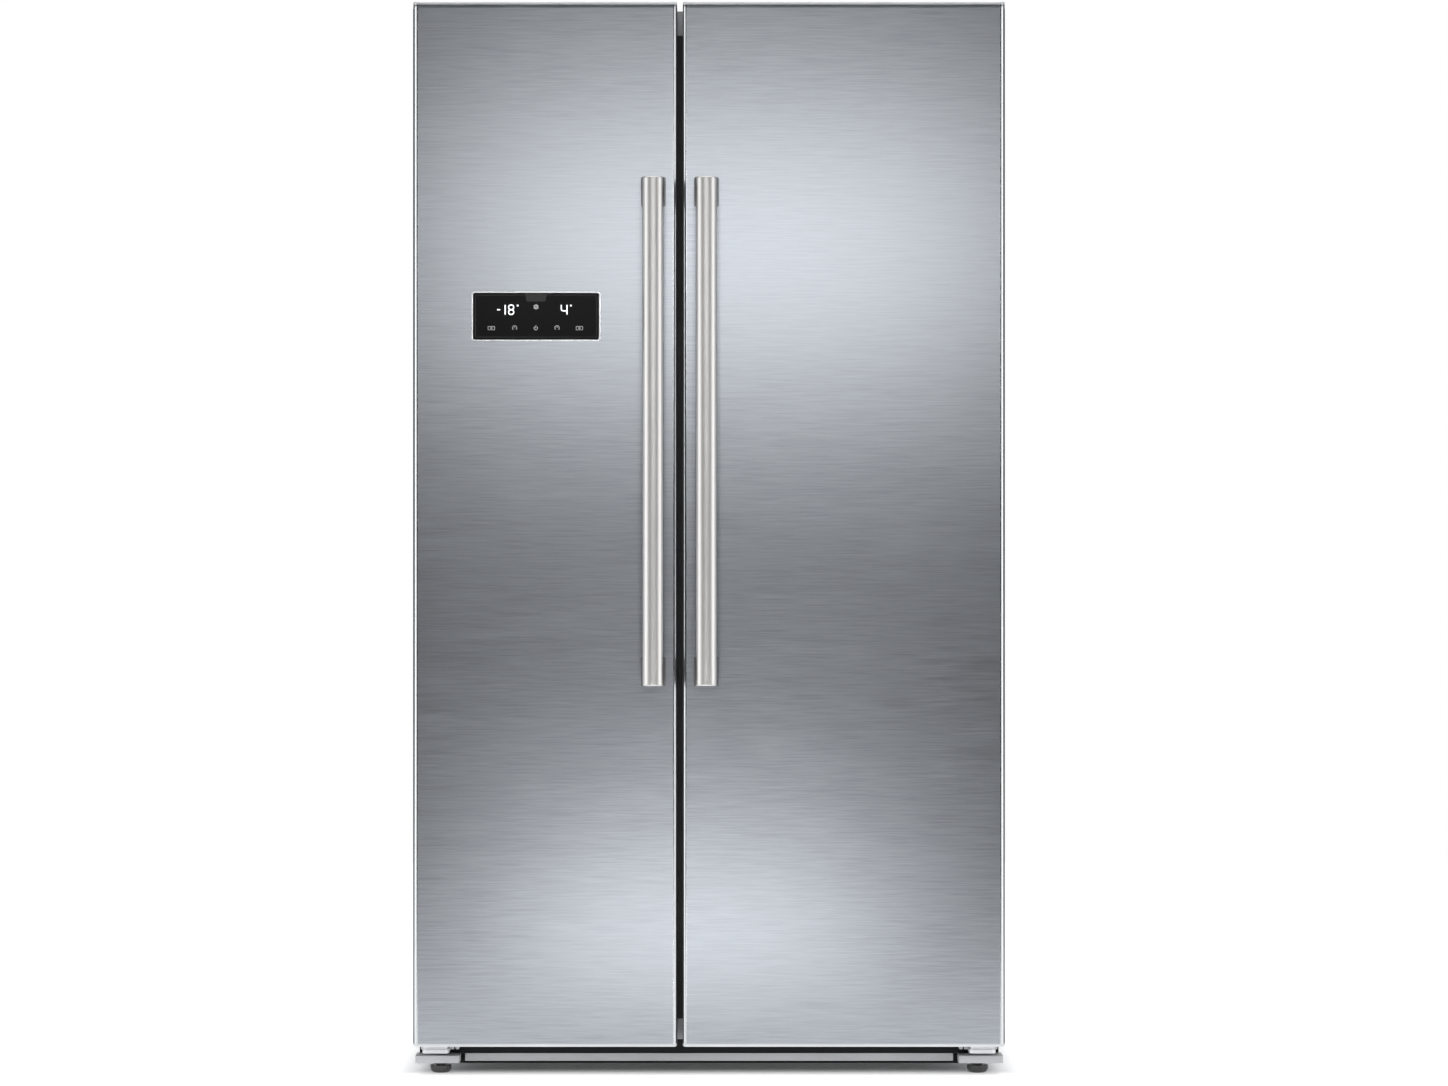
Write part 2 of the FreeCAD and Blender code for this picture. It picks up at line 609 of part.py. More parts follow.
def plinth_panels():
    """Narrow strip under the doors, hooked under the front cross member, and two corner caps."""
    face = box(-STRIP_HALF, STRIP_HALF, CABINET_FRONT, CABINET_FRONT + 2, PLINTH_LOW, PLINTH_HIGH)
    flange = box(-STRIP_HALF, STRIP_HALF, CABINET_FRONT, CABINET_FRONT + 40, PLINTH_HIGH - 2, PLINTH_HIGH)
    made = [joined([face, flange])]
    near, far = CAP_INNER, DOOR_HALF - 0.5
    front, rear = DOOR_FRONT + 40, CABINET_FRONT + 12
    for s in (-1, 1):
        outer = box(s * far, s * near, front, rear, PLINTH_LOW, PLINTH_HIGH - 0.2)
        outer = rounded(outer, 3.0, lambda e: runs_along(e, "z") and e.CenterOfMass.y < CABINET_FRONT - 20)
        inner = box(s * (far - 2), s * (near + 2), front + 2, rear + 1, PLINTH_LOW - 1, PLINTH_HIGH + 2)
        made.append(outer.cut(inner))
    return group(made)


def lower_hinge(door):
    """Angle bracket with the door's lower pin, and the self-closing cam round it."""
    s = door.side
    low, high = 38.0, 44.0
    shelf = box(s * 444, s * 403, HINGE_Y - 14, CABINET_FRONT + 4, low, high)
    shelf = rounded(shelf, 7.0, lambda e: runs_along(e, "z") and e.CenterOfMass.y < HINGE_Y)
    upright = box(s * 450, s * 398, CABINET_FRONT, CABINET_FRONT + 4, low, CABINET_BOTTOM - 1)
    pin = rod(PIN_R, (door.hinge, HINGE_Y, low + 2), (door.hinge, HINGE_Y, DOOR_BOTTOM + 22))
    pin = rounded(pin, 1.0, lambda e: e.CenterOfMass.z > DOOR_BOTTOM + 21.9)
    cam = box(s * 442.5, s * 405, HINGE_Y - 12, HINGE_Y + 16, high, DOOR_BOTTOM - 1)
    cam = rounded(cam, 4.0, lambda e: runs_along(e, "z"))
    cam = cam.cut(rod(PIN_R, (door.hinge, HINGE_Y, 30), (door.hinge, HINGE_Y, 60)))
    return [joined([shelf, upright, pin]), cam]


def upper_hinge(door):
    """Flat plate on the cabinet's top with an arm over the door's recess and a pin down into it."""
    s = door.side
    top = CABINET_TOP + HINGE_PLATE
    plate = box(s * 448, s * 392, CABINET_FRONT + 6, CABINET_FRONT + 84, CABINET_TOP, top)
    plate = rounded(plate, 8.0, lambda e: runs_along(e, "z"))
    arm = box(door.hinge + s * ARM_OUTER, door.hinge - s * ARM_INNER, HINGE_Y, CABINET_FRONT + 20,
              CABINET_TOP, top)
    boss = rod(8.0, (door.hinge, HINGE_Y, CABINET_TOP), (door.hinge, HINGE_Y, top))
    pin = rod(PIN_R, (door.hinge, HINGE_Y, NOTCH_FLOOR - 22), (door.hinge, HINGE_Y, CABINET_TOP + 1))
    return joined([plate, arm, boss, pin])


def upper_hinge_cover(door):
    """Moulded cover over the hinge plate: low in front, higher behind."""
    s = door.side
    front, rear = CABINET_FRONT + 1, CABINET_FRONT + 112
    low, high = DOOR_TOP - 1, DOOR_TOP + 6

    def shape(inset):
        outline = [(front + inset, CABINET_TOP), (rear - inset, CABINET_TOP),
                   (rear - inset, high - inset), (front + 50, high - inset), (front + 26, low - inset),
                   (front + inset, low - inset)]
        wide = 66 - 2 * inset
        start = -453 + inset if s < 0 else 387 + inset
        return prism(outline, "x", start, wide)

    body = rounded(shape(0), 2.0, lambda e: e.CenterOfMass.z > CABINET_TOP + 3 and not runs_along(e, "z"))
    cover = body.cut(shape(2).translated(V(0, 0, -0.01)))
    slot = box(door.hinge - 10, door.hinge + 10, front - 2, front + 4, CABINET_TOP - 1, CABINET_TOP + 4.5)
    return cover.cut(slot)


def hex_bolt(x, y, z, axis, across, head):
    """A hex head with a washer, standing on a surface at x, y, z along axis."""
    out = V(*axis)
    washer = Part.makeCylinder(across * 0.62, 1.0, V(x, y, z), out)
    seat = V(x, y, z) + out
    side = V(0, 0, 1) if abs(out.z) < 0.5 else V(1, 0, 0)
    corners = []
    for k in range(6):
        turn = FreeCAD.Rotation(out, 60.0 * k)
        corners.append(seat + turn.multVec(side) * (across / 2 / cos(radians(30))))
    face = Part.Face(Part.makePolygon(corners + corners[:1]))
    return joined([washer, face.extrude(out * head)])


def hinge_bolts():
    """Bolts that fix the upper hinge plates and the lower brackets."""
    made = []
    for s in (-1, 1):
        for dx, dy in ((438, 58), (402, 58), (420, 76)):
            made.append(hex_bolt(s * dx, CABINET_FRONT + dy, CABINET_TOP + HINGE_PLATE, (0, 0, 1), 7, 2.6))
        for dx in (438, 410):
            made.append(hex_bolt(s * dx, CABINET_FRONT, 48.6, (0, -1, 0), 5.5, 2.4))
    return group(made)


# ---- Feet and rollers ---------------------------------------------------------------------------
def levelling_foot(side):
    """Screw stem with a ribbed, round-bottomed pad."""
    x = side * FOOT_X
    pad = rod(FOOT_R, (x, FOOT_Y, 0), (x, FOOT_Y, 12))
    pad = rounded(pad, 5.0, lambda e: e.CenterOfMass.z < 0.1)
    stem = rod(STEM_R, (x, FOOT_Y, 11), (x, FOOT_Y, 48))
    collar = Part.Face(Part.makePolygon(
        [V(x + 8 * cos(radians(a)), FOOT_Y + 8 * sin(radians(a)), 12) for a in range(0, 361, 60)]))
    foot = joined([pad, stem, collar.extrude(V(0, 0, 7))])
    flutes = []
    for k in range(16):
        a = radians(22.5 * k)
        at = (x + (FOOT_R + 0.6) * cos(a), FOOT_Y + (FOOT_R + 0.6) * sin(a))
        flutes.append(rod(1.6, (at[0], at[1], 5.6), (at[0], at[1], 13)))
    return foot.cut(flutes)


def rear_roller(side):
    """Plastic wheel on a steel pin that turns in the chassis ears."""
    def disc(radius, x0, x1):
        return rod(radius, (x0, ROLLER_Y, ROLLER_R), (x1, ROLLER_Y, ROLLER_R))

    centre = side * ROLLER_X
    wheel = rounded(disc(ROLLER_R, centre - ROLLER_W / 2, centre + ROLLER_W / 2), 2.0, lambda e: True)
    for face, step in ((centre - ROLLER_W / 2, 1), (centre + ROLLER_W / 2, -1)):
        dish = disc(13.0, face - step, face + step * 3)
        wheel = wheel.cut(dish.cut(disc(7.0, face - step, face + step * 3)))
    return joined([wheel, disc(AXLE_R, centre - 19, centre + 19)])


# ---- Inside the compartments --------------------------------------------------------------------
def compartment(door):
    """(left wall, right wall, rear limit) of a compartment, and where its shelves end."""
    if door is FREEZER:
        return CAVITY_LEFT, MULLION_LEFT, 232.0
    return MULLION_RIGHT, CAVITY_RIGHT, 275.0


def glass_shelf(door, height):
    x0, x1, rear = compartment(door)
    pane = box(x0 + 2, x1 - 2, SHELF_FRONT + 6, rear - 6, height, height + GLASS)
    return rounded(pane, 0.8, lambda e: runs_along(e, "x"))


def shelf_trims():
    """Edge strips that clip over the front and back of each glass shelf."""
    made = []
    for door in (FREEZER, FRIDGE):
        x0, x1, rear = compartment(door)
        for height in SHELF_HEIGHTS:
            glass = box(x0, x1, SHELF_FRONT + 6, rear - 6, height, height + GLASS)
            for y0, y1 in ((SHELF_FRONT, SHELF_FRONT + 12), (rear - 12, rear)):
                middle = height + GLASS / 2
                strip = box(x0 + 2, x1 - 2, y0, y1, middle - TRIM_HEIGHT / 2, middle + TRIM_HEIGHT / 2)
                if y0 > 0:
                    strip = strip.cut(box(x0, x0 + 11, y0 - 1, y1 + 1, height - 10, height)).cut(
                        box(x1 - 11, x1, y0 - 1, y1 + 1, height - 10, height))
                strip = rounded(strip, 1.5, lambda e: runs_along(e, "x") and abs(
                    e.CenterOfMass.y - (SHELF_FRONT if y0 < 0 else rear)) < 0.1)
                made.append(strip.cut(glass))
    return group(made)


def drawer(door, span, back):
    """Open-topped drawer with a deep front panel and a finger scoop."""
    x0, x1, _ = compartment(door)
    left, right = x0 + DRAWER_INSET, x1 - DRAWER_INSET
    low, high = span
    wall = DRAWER_WALL
    front_thick = 14.0
    body = box(left, right, DRAWER_FRONT, back, low, high - 12)
    body = rounded(body, 6.0, lambda e: runs_along(e, "y") and e.CenterOfMass.z < low + 1)
    hollow = box(left + wall, right - wall, DRAWER_FRONT + front_thick, back - wall, low + wall, high + 1)
    hollow = rounded(hollow, 4.0, lambda e: runs_along(e, "y") and e.CenterOfMass.z < low + wall + 1)
    face = box(left, right, DRAWER_FRONT, DRAWER_FRONT + front_thick, low + 4, high)
    face = rounded(face, 3.0, lambda e: abs(e.CenterOfMass.y - DRAWER_FRONT) < 0.1)
    middle = (left + right) / 2
    scoop = box(middle - 62, middle + 62, DRAWER_FRONT - 1, DRAWER_FRONT + 9, high - 30, high - 10)
    scoop = rounded(scoop, 4.0, lambda e: runs_along(e, "y"))
    lower = box(left - 1, right + 1, DRAWER_FRONT - 1, DRAWER_FRONT + 2.9, low - 1, low + 4)
    return joined([body.cut(hollow).cut(lower), face]).cut(scoop)


def evaporator_cover():
    """Freezer back panel with air slots and a fan grille, on six posts."""
    x0, x1 = CAVITY_LEFT + 1, MULLION_LEFT - 1
    y0, y1 = 234.0, 238.0
    panel = box(x0, x1, y0, y1, HUMP_TOP + 2, CAVITY_TOP - 2)
    panel = rounded(panel, CAVITY_CORNER, lambda e: runs_along(e, "y")
                    and e.CenterOfMass.z > CAVITY_TOP - 5)
    fx, _, fz = EVAPORATOR_FAN
    vents = []
    for low in (1392.0, 400.0):
        for row in range(5):
            z = low + 17 * row
            vents.extend(slots(3, 92.0, lambda dx: box(fx + dx - 38, fx + dx + 38,
                                                       y0 - 1, y1 + 1, z, z + 7)))
    for ring in range(1, 5):
        outer = rod(4.0 + ring * 11, (fx, y0 - 1, fz), (fx, y1 + 1, fz))
        inner = rod(ring * 11 - 1.0, (fx, y0 - 2, fz), (fx, y1 + 2, fz))
        spokes = [box(fx - 3, fx + 3, y0 - 3, y1 + 3, fz - 70, fz + 70),
                  box(fx - 70, fx + 70, y0 - 3, y1 + 3, fz - 3, fz + 3)]
        vents.append(outer.cut(inner).cut(spokes))
    posts = []
    for x in (x0 + 14, x1 - 14):
        for z in (380, 1090, 1540):
            posts.append(rod(7.0, (x, y1, z), (x, CAVITY_BACK, z)))
    return group([panel.cut(vents)] + posts)


def evaporator_fan_motor():
    """Motor on the compartment's back wall, with the shaft that the wheel turns on."""
    x, y, z = EVAPORATOR_FAN
    plate = box(x - 34, x + 34, CAVITY_BACK - 4, CAVITY_BACK, z - 34, z + 34)
    plate = rounded(plate, 6.0, lambda e: runs_along(e, "y"))
    motor = rod(19.0, (x, y + 10, z), (x, CAVITY_BACK - 2, z))
    shaft = rod(SHAFT_R, (x, y - 9, z), (x, y + 12, z))
    return joined([plate, motor, shaft])


def fin_block(x_span, y_span, z_span, fins, rows, tube_r):
    """Plate fins threaded on a serpentine of tubes that run from side to side in two columns."""
    (x0, x1), (y0, y1), (z0, z1) = x_span, y_span, z_span
    left, right = x0 - COIL_OVERHANG, x1 + COIL_OVERHANG
    near, far = y0 + (y1 - y0) / 4, y1 - (y1 - y0) / 4
    pitch = (x1 - x0) / (fins - 1)
    rise = (z1 - z0) / rows
    pieces = []
    for i in range(fins):
        x = x0 + i * pitch
        pieces.append(box(x - FIN / 2, x + FIN / 2, y0, y1, z0, z1))
    for row in range(rows):
        z = z0 + (row + 0.5) * rise
        pieces.append(rod(tube_r, (left, near, z), (right, near, z)))
        pieces.append(rod(tube_r, (left, far, z), (right, far, z)))
        turn, climb, y = (left, right, far) if row % 2 else (right, left, near)
        pieces.append(rod(tube_r, (turn, near, z), (turn, far, z)))
        if row < rows - 1:
            pieces.append(rod(tube_r, (climb, y, z), (climb, y, z + rise)))
    return joined(pieces)


def evaporator():
    """Finned coil behind the freezer's back panel."""
    return fin_block((-380, -98), (252, 292), (640, 1000), fins=24, rows=9, tube_r=4.0)


def condenser():
    """Finned condenser block in the machine compartment."""
    return fin_block((-318, -128), (200, 326), (96, 236), fins=20, rows=5, tube_r=3.2)


def fan(centre, axis, radius, thick, blades, hub_r, pitch):
    """Hub with flat, pitched blades, turning about its axis through centre."""
    hub = Part.makeCylinder(hub_r, thick, V(0, 0, -thick / 2))
    hub = rounded(hub, 2.0, lambda e: e.CenterOfMass.z > 0)
    pieces = [hub]
    for k in range(blades):
        blade = box(hub_r - 2, radius, -radius * 0.28, radius * 0.28, -0.8, 0.8)
        blade = rounded(blade, radius * 0.18, lambda e: runs_along(e, "z")
                        and e.CenterOfMass.x > radius - 1)
        blade.rotate(V(0, 0, 0), V(1, 0, 0), pitch)
        blade.rotate(V(0, 0, 0), V(0, 0, 1), 360.0 * k / blades)
        pieces.append(blade)
    made = joined(pieces)
    turn = FreeCAD.Rotation(V(0, 0, 1), V(*axis))
    made.Placement = FreeCAD.Placement(V(*centre), turn)
    return made


def condenser_fan():
    x, y, z = CONDENSER_FAN
    wheel = fan(CONDENSER_FAN, (1, 0, 0), 58.0, 18.0, 5, 17.0, 28)
    return wheel.cut(rod(SHAFT_R + PIN_CLEARANCE, (x - 20, y, z), (x + 20, y, z)))


def evaporator_fan():
    x, y, z = EVAPORATOR_FAN
    wheel = fan(EVAPORATOR_FAN, (0, 1, 0), 48.0, 16.0, 5, 14.0, 26)
    return wheel.cut(rod(SHAFT_R + PIN_CLEARANCE, (x, y - 20, z), (x, y + 20, z)))


def condenser_fan_shroud():
    """Upright plate with a round mouth, and the motor on struts behind the wheel."""
    x, y, z = CONDENSER_FAN
    front, mouth = x - 34, 62.0
    plate = box(front, front + 3, y - 82, y + 82, FRAME_TOP, z + 78)
    plate = plate.cut(rod(mouth, (x - 40, y, z), (x - 20, y, z)))
    lip = rod(mouth + 2.5, (front, y, z), (x + 12, y, z)).cut(rod(mouth, (x - 40, y, z), (x + 20, y, z)))
    lip = lip.cut(box(x - 50, x + 50, y - 90, y + 90, FRAME_TOP - 20, FRAME_TOP))
    foot = box(front, x + 30, y - 82, y + 82, FRAME_TOP, FRAME_TOP + 3)
    motor = rod(20.0, (x + 16, y, z), (x + 48, y, z))
    shaft = rod(SHAFT_R, (x - 10, y, z), (x + 18, y, z))
    pieces = [plate, lip, foot, motor, shaft]
    for a in (45, 135, 225, 315):
        dy, dz = cos(radians(a)), sin(radians(a))
        hub = (x + 20, y + 18 * dy, z + 18 * dz)
        pieces.append(rod(3.0, hub, (x + 10, y + 63.5 * dy, z + 63.5 * dz)))
    return joined(pieces)


def compressor():
    """Sealed motor-compressor: pressed steel pot on a foot plate with four rubber grommets."""
    x, y = COMPRESSOR
    low, high = FOOT_PLATE + 8, FOOT_PLATE + 166

    def vessel(inset):
        body = rod(POT_R - inset, (x, y, low + inset), (x, y, high - inset))
        body = rounded(body, 34.0 - inset, lambda e: e.CenterOfMass.z > 200)
        return rounded(body, 22.0 - inset, lambda e: e.CenterOfMass.z < 100)

    pot, hollow = vessel(0), vessel(POT_WALL)
    core = rod(44.0, (x, y, low + POT_WALL), (x, y, 172))
    core = rounded(core, 4.0, lambda e: e.CenterOfMass.z > 100)
    seam = rod(POT_R + 2.5, (x, y, 146), (x, y, 152))
    foot = box(x - 104, x + 104, y - 56, y + 56, FOOT_PLATE, FOOT_PLATE + 3.5)
    foot = rounded(foot, 10.0, lambda e: runs_along(e, "z"))
    saddle = rod(52.0, (x, y, FOOT_PLATE + 3), (x, y, FOOT_PLATE + 12))
    terminal = box(x - 98, x - 64, y - 30, y + 30, 110, 176)
    terminal = rounded(terminal, 4.0, lambda e: runs_along(e, "x"))
    stubs = [rod(4.0, (x + 68, y - 26, 118), (x + 92, y - 26, 118)),
             rod(3.0, (x + 66, y + 28, 118), (x + 92, y + 28, 118))]
    grommets = []
    for gx in (-88, 88):
        for gy in (-42, 42):
            grommets.append(rod(11.0, (x + gx, y + gy, MACHINE_FLOOR), (x + gx, y + gy, FOOT_PLATE)))
    shell = joined([pot, seam, foot, saddle, terminal] + stubs + grommets)
    return group([shell.cut(hollow), core])


def drip_tray():
    """Evaporating tray under the condenser."""
    outer = box(-336, -112, 184, 342, FRAME_TOP + 2, 84)
    outer = rounded(outer, 8.0, lambda e: runs_along(e, "z"))
    inner = box(-334, -114, 186, 340, FRAME_TOP + 4, 86)
    inner = rounded(inner, 6.0, lambda e: runs_along(e, "z"))
    feet = []
    for x in (-320, -128):
        for y in (198, 328):
            feet.append(rod(6.0, (x, y, MACHINE_FLOOR), (x, y, FRAME_TOP + 3)))
    return joined([outer.cut(inner)] + feet)


def refrigerant_tubes():
    """Discharge and suction lines and the filter drier."""
    suction = bent_tube(4.0, [(354, 238, 118), (388, 238, 118), (388, 238, 262), (60, 196, 262),
                              (60, 196, 282)], 9)
    discharge = bent_tube(3.0, [(354, 292, 118), (372, 292, 118), (372, 330, 118), (372, 330, 254),
                                (-95, 330, 254), (-95, 280, 254), (-95, 280, 220)], 12)
    drier = rod(10.0, (-95, 280, 220), (-95, 280, 150))
    drier = rounded(drier, 4.0, lambda e: True)
    return group([suction, joined([discharge, drier])])


def machine_cover():
    """Louvred rear cover of the machine compartment, with the sleeve for the mains lead."""
    side = CABINET_HALF - SHEET - 1
    panel = box(-side, side, CABINET_BACK - 2, CABINET_BACK, CABINET_BOTTOM + 2, MACHINE_TOP - 1)
    cutters = []
    for centre in (-225.0, 40.0, 270.0):
        for row in range(7):
            z = 100.0 + row * 22
            cutters.append(box(centre - 90, centre + 90, CABINET_BACK - 3, CABINET_BACK + 1, z, z + 8))
    x, z = SLEEVE
    barrel = rod(SLEEVE_R * 2, (x, CABINET_BACK - 6, z), (x, CABINET_BACK + 1, z))
    collar = rod(12.0, (x, CABINET_BACK, z), (x, CABINET_BACK + 4, z))
    sleeve = joined([barrel, collar]).cut(rod(SLEEVE_R, (x, CABINET_BACK - 8, z), (x, CABINET_BACK + 8, z)))
    return group([panel.cut(cutters + [barrel]), sleeve])


def fridge_air_duct():
    """Moulded foam air duct on the fridge compartment's back, with outlets beside each shelf."""
    block = box(70, 318, 279, CAVITY_BACK, HUMP_TOP + 2, 1560)
    block = rounded(block, 8.0, lambda e: runs_along(e, "z") and e.CenterOfMass.y < 280)
    outlets = []
    for height in SHELF_HEIGHTS:
        for x in (104.0, 284.0):
            for row in range(3):
                z = height + 90 + row * 12
                outlets.append(box(x - 20, x + 20, 278, 293, z, z + 6))
    return block.cut(outlets)


def interior_lamps():
    """Ceiling lamp covers, one in each compartment."""
    made = []
    for x, half in ((-239.0, 45.0), (194.0, 80.0)):
        lamp = box(x - half, x + half, -60, 20, CAVITY_TOP - 12, CAVITY_TOP)
        lamp = rounded(lamp, 6.0, lambda e: runs_along(e, "z"))
        made.append(rounded(lamp, 2.5, lambda e: e.CenterOfMass.z < CAVITY_TOP - 11.9))
    return group(made)


def control_module():
    """Housing of the main circuit board in the machine compartment."""
    x0, x1, y0, top = -420, -352, 186, 206
    body = box(x0, x1, y0, 340, FRAME_TOP, top)
    body = rounded(body, 4.0, lambda e: runs_along(e, "z"))
    ribs = []
    for k in range(6):
        y = y0 + 18 + 22 * k
        ribs.append(box(x0 + 8, x1 - 8, y, y + 6, top - 1, top + 3))
    return joined([body] + ribs)


# ---- Build --------------------------------------------------------------------------------------
def nodes():
    """Every sub-part, by node name."""
    made = {
        "outer_shell": outer_shell(),
        "rear_panel": rear_panel(),
        "cabinet_foam": cabinet_foam(),
        "cabinet_liners": cabinet_liners(),
        "drawer_rails": drawer_rails(),
        "base_frame": base_frame(),
        "plinth_panels": plinth_panels(),
        "lower_hinges": group(lower_hinge(FREEZER) + lower_hinge(FRIDGE)),
        "upper_hinges": group([upper_hinge(FREEZER), upper_hinge(FRIDGE)]),
        "upper_hinge_covers": group([upper_hinge_cover(FREEZER), upper_hinge_cover(FRIDGE)]),
        "hinge_bolts": hinge_bolts(),
        "machine_cover": machine_cover(),
        "compressor": compressor(),
        "condenser": condenser(),
        "condenser_fan_shroud": condenser_fan_shroud(),
        "condenser_fan": condenser_fan(),
        "drip_tray": drip_tray(),
        "refrigerant_tubes": refrigerant_tubes(),
        "evaporator": evaporator(),
        "evaporator_cover": evaporator_cover(),
        "evaporator_fan": evaporator_fan(),
        "evaporator_fan_motor": evaporator_fan_motor(),
        "fridge_air_duct": fridge_air_duct(),
        "control_module": control_module(),
        "interior_lamps": interior_lamps(),
        "shelf_trims": shelf_trims(),
        "freezer_drawer_lower": drawer(FREEZER, LOWER_DRAWER, LOWER_DRAWER_BACK),
        "freezer_drawer_upper": drawer(FREEZER, UPPER_DRAWER, 226.0),
        "crisper_drawer_lower": drawer(FRIDGE, LOWER_DRAWER, LOWER_DRAWER_BACK),
        "crisper_drawer_upper": drawer(FRIDGE, UPPER_DRAWER, 266.0),
        "front_left_foot": levelling_foot(-1),
        "front_right_foot": levelling_foot(1),
        "rear_left_roller": rear_roller(-1),
        "rear_right_roller": rear_roller(1),
        "display_bezel": display_bezel(),
        "display_glass": display_glass(),
    }
    for door in (FREEZER, FRIDGE):
        for k, height in enumerate(SHELF_HEIGHTS):
            made[f"{door.name}_shelf_{k + 1}"] = glass_shelf(door, height)
        made[f"{door.name}_door_skin"] = door_skin(door)
        made[f"{door.name}_door_caps"] = door_caps(door)
        made[f"{door.name}_door_liner"] = door_liner(door)
        made[f"{door.name}_door_foam"] = door_foam(door)
        made[f"{door.name}_door_gasket"] = gasket(door)
        made[f"{door.name}_door_bins"] = door_bins(door)
        made[f"{door.name}_handle_bar"] = handle_bar(door)
        made[f"{door.name}_handle_posts"] = handle_posts(door)
    return made


def build():
    os.makedirs("parts", exist_ok=True)
    for name, shape in nodes().items():
        bad = [s for s in shape.Solids if not s.isValid() or s.Volume <= 0]
        state = "INVALID" if bad else "valid"
        print(f"{name}: {len(shape.Solids)} solids, {shape.Volume / 1000:.1f} cm3, {state}")
        shape.exportStep(f"parts/{name}.step")


build()
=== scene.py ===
# %% [markdown]
# # A side by side refrigerator
#
# This lesson dresses a working model of a large refrigerator. The frame holds every mechanical
# part at its true size, in metres, standing on the floor with the doors facing -Y. Some parts only
# need a finish. Others are modelled again here with softer edges and finer detail, and a few thin
# pieces are added where the frame has none.

# %% The frame
import bpy
import bmesh
from math import cos, pi, radians, sin
from mathutils import Matrix, Vector


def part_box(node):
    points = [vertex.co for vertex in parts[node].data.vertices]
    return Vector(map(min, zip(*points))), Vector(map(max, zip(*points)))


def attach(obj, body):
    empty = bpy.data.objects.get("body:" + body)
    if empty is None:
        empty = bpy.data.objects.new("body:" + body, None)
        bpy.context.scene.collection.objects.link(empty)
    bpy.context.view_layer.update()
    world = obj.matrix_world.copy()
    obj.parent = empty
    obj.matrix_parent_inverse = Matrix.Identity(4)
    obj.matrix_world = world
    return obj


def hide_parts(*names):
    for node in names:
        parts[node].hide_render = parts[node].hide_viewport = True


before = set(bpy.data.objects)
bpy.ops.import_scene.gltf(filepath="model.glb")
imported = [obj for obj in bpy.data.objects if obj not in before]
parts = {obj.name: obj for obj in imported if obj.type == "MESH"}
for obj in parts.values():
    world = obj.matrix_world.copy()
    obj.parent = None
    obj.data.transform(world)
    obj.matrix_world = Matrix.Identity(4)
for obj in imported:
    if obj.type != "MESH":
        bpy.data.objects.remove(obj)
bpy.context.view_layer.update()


def corners(node):
    """A node's lowest and highest corners as two vectors."""
    low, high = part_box(node)
    return Vector(low), Vector(high)


DOOR_FACE = corners("freezer_door_skin")[0].y
print("door faces stand at y =", round(DOOR_FACE, 3))

# %% [markdown]
# ## Camera
#
# A catalogue view of a tall appliance is taken from far away with a long lens, level with the
# middle of the doors, so that their edges stay parallel. The camera looks along +Y and is not
# tilted, because a tilt would make the uprights lean.

# %% Camera
CAMERA_DISTANCE = 6.43
CAMERA_X = 0.0232
CAMERA_HEIGHT = 0.8283
VIEW_WIDTH = 2.236
SENSOR_WIDTH = 36.0

camera_data = bpy.data.cameras.new("catalogue_lens")
camera_data.sensor_width = SENSOR_WIDTH
camera_data.lens = SENSOR_WIDTH * CAMERA_DISTANCE / VIEW_WIDTH
camera = bpy.data.objects.new("catalogue_camera", camera_data)
camera.location = (CAMERA_X, DOOR_FACE - CAMERA_DISTANCE, CAMERA_HEIGHT)
camera.rotation_euler = (radians(90), 0, 0)
bpy.context.scene.collection.objects.link(camera)
bpy.context.scene.camera = camera
bpy.context.scene.view_settings.view_transform = "Standard"
print("lens", round(camera_data.lens, 1), "mm")

# %% [markdown]
# ## Studio
#
# Brushed steel has no colour of its own worth speaking of: it shows its surroundings. The flat doors
# reflect only a narrow cone behind the camera. Here that is a dark room with a wide soft box high up,
# and a pale floor with a long lamp just above it. So the doors are bright near the floor, darker at
# waist height and bright again above. Two tall soft boxes at the sides put the bright lines on the
# handles and on the rounded upright edges. The floor glows like a light table, so it meets the white
# backdrop, and the glow is masked where the refrigerator stands: a painted contact shadow beneath it.

# %% Floor
FLOOR_FRONT = -1.6
FLOOR_BACK = 4.0
FLOOR_WIDTH = 12
# The glow is masked in a box round where the refrigerator stands: a painted contact shadow.
PAINTED_SHADOW_HALF_SIZE = (0.42, 0.20, 0)
PAINTED_SHADOW_EDGE = 0.12
GLOW_IN_PAINTED_SHADOW = 0.03
GLOW_OUTSIDE = 0.80


def new_material(name):
    """An empty node material, with its tree's nodes, links and output."""
    material = bpy.data.materials.new(name)
    material.use_nodes = True
    nodes = material.node_tree.nodes
    nodes.clear()
    output = nodes.new("ShaderNodeOutputMaterial")
    return material, nodes, material.node_tree.links, output


def place(obj):
    """Adds an object to the scene."""
    bpy.context.scene.collection.objects.link(obj)
    return obj


def mesh_object(bm, name, material=None):
    """Turns a bmesh into an object at the origin."""
    mesh = bpy.data.meshes.new(name)
    bm.to_mesh(mesh)
    bm.free()
    if material:
        mesh.materials.append(material)
    return place(bpy.data.objects.new(name, mesh))


floor_paint, nodes, links, output = new_material("pale_floor")
shader = nodes.new("ShaderNodeBsdfPrincipled")
shader.inputs["Base Color"].default_value = (0.86, 0.86, 0.86, 1)
shader.inputs["Roughness"].default_value = 0.6
shader.inputs["Emission Color"].default_value = (1, 1, 1, 1)
on_floor = nodes.new("ShaderNodeTexCoord")
folded = nodes.new("ShaderNodeVectorMath")
folded.operation = "ABSOLUTE"
beyond = nodes.new("ShaderNodeVectorMath")
beyond.operation = "SUBTRACT"
beyond.inputs[1].default_value = PAINTED_SHADOW_HALF_SIZE
sides = nodes.new("ShaderNodeSeparateXYZ")
farthest = nodes.new("ShaderNodeMath")
farthest.operation = "MAXIMUM"
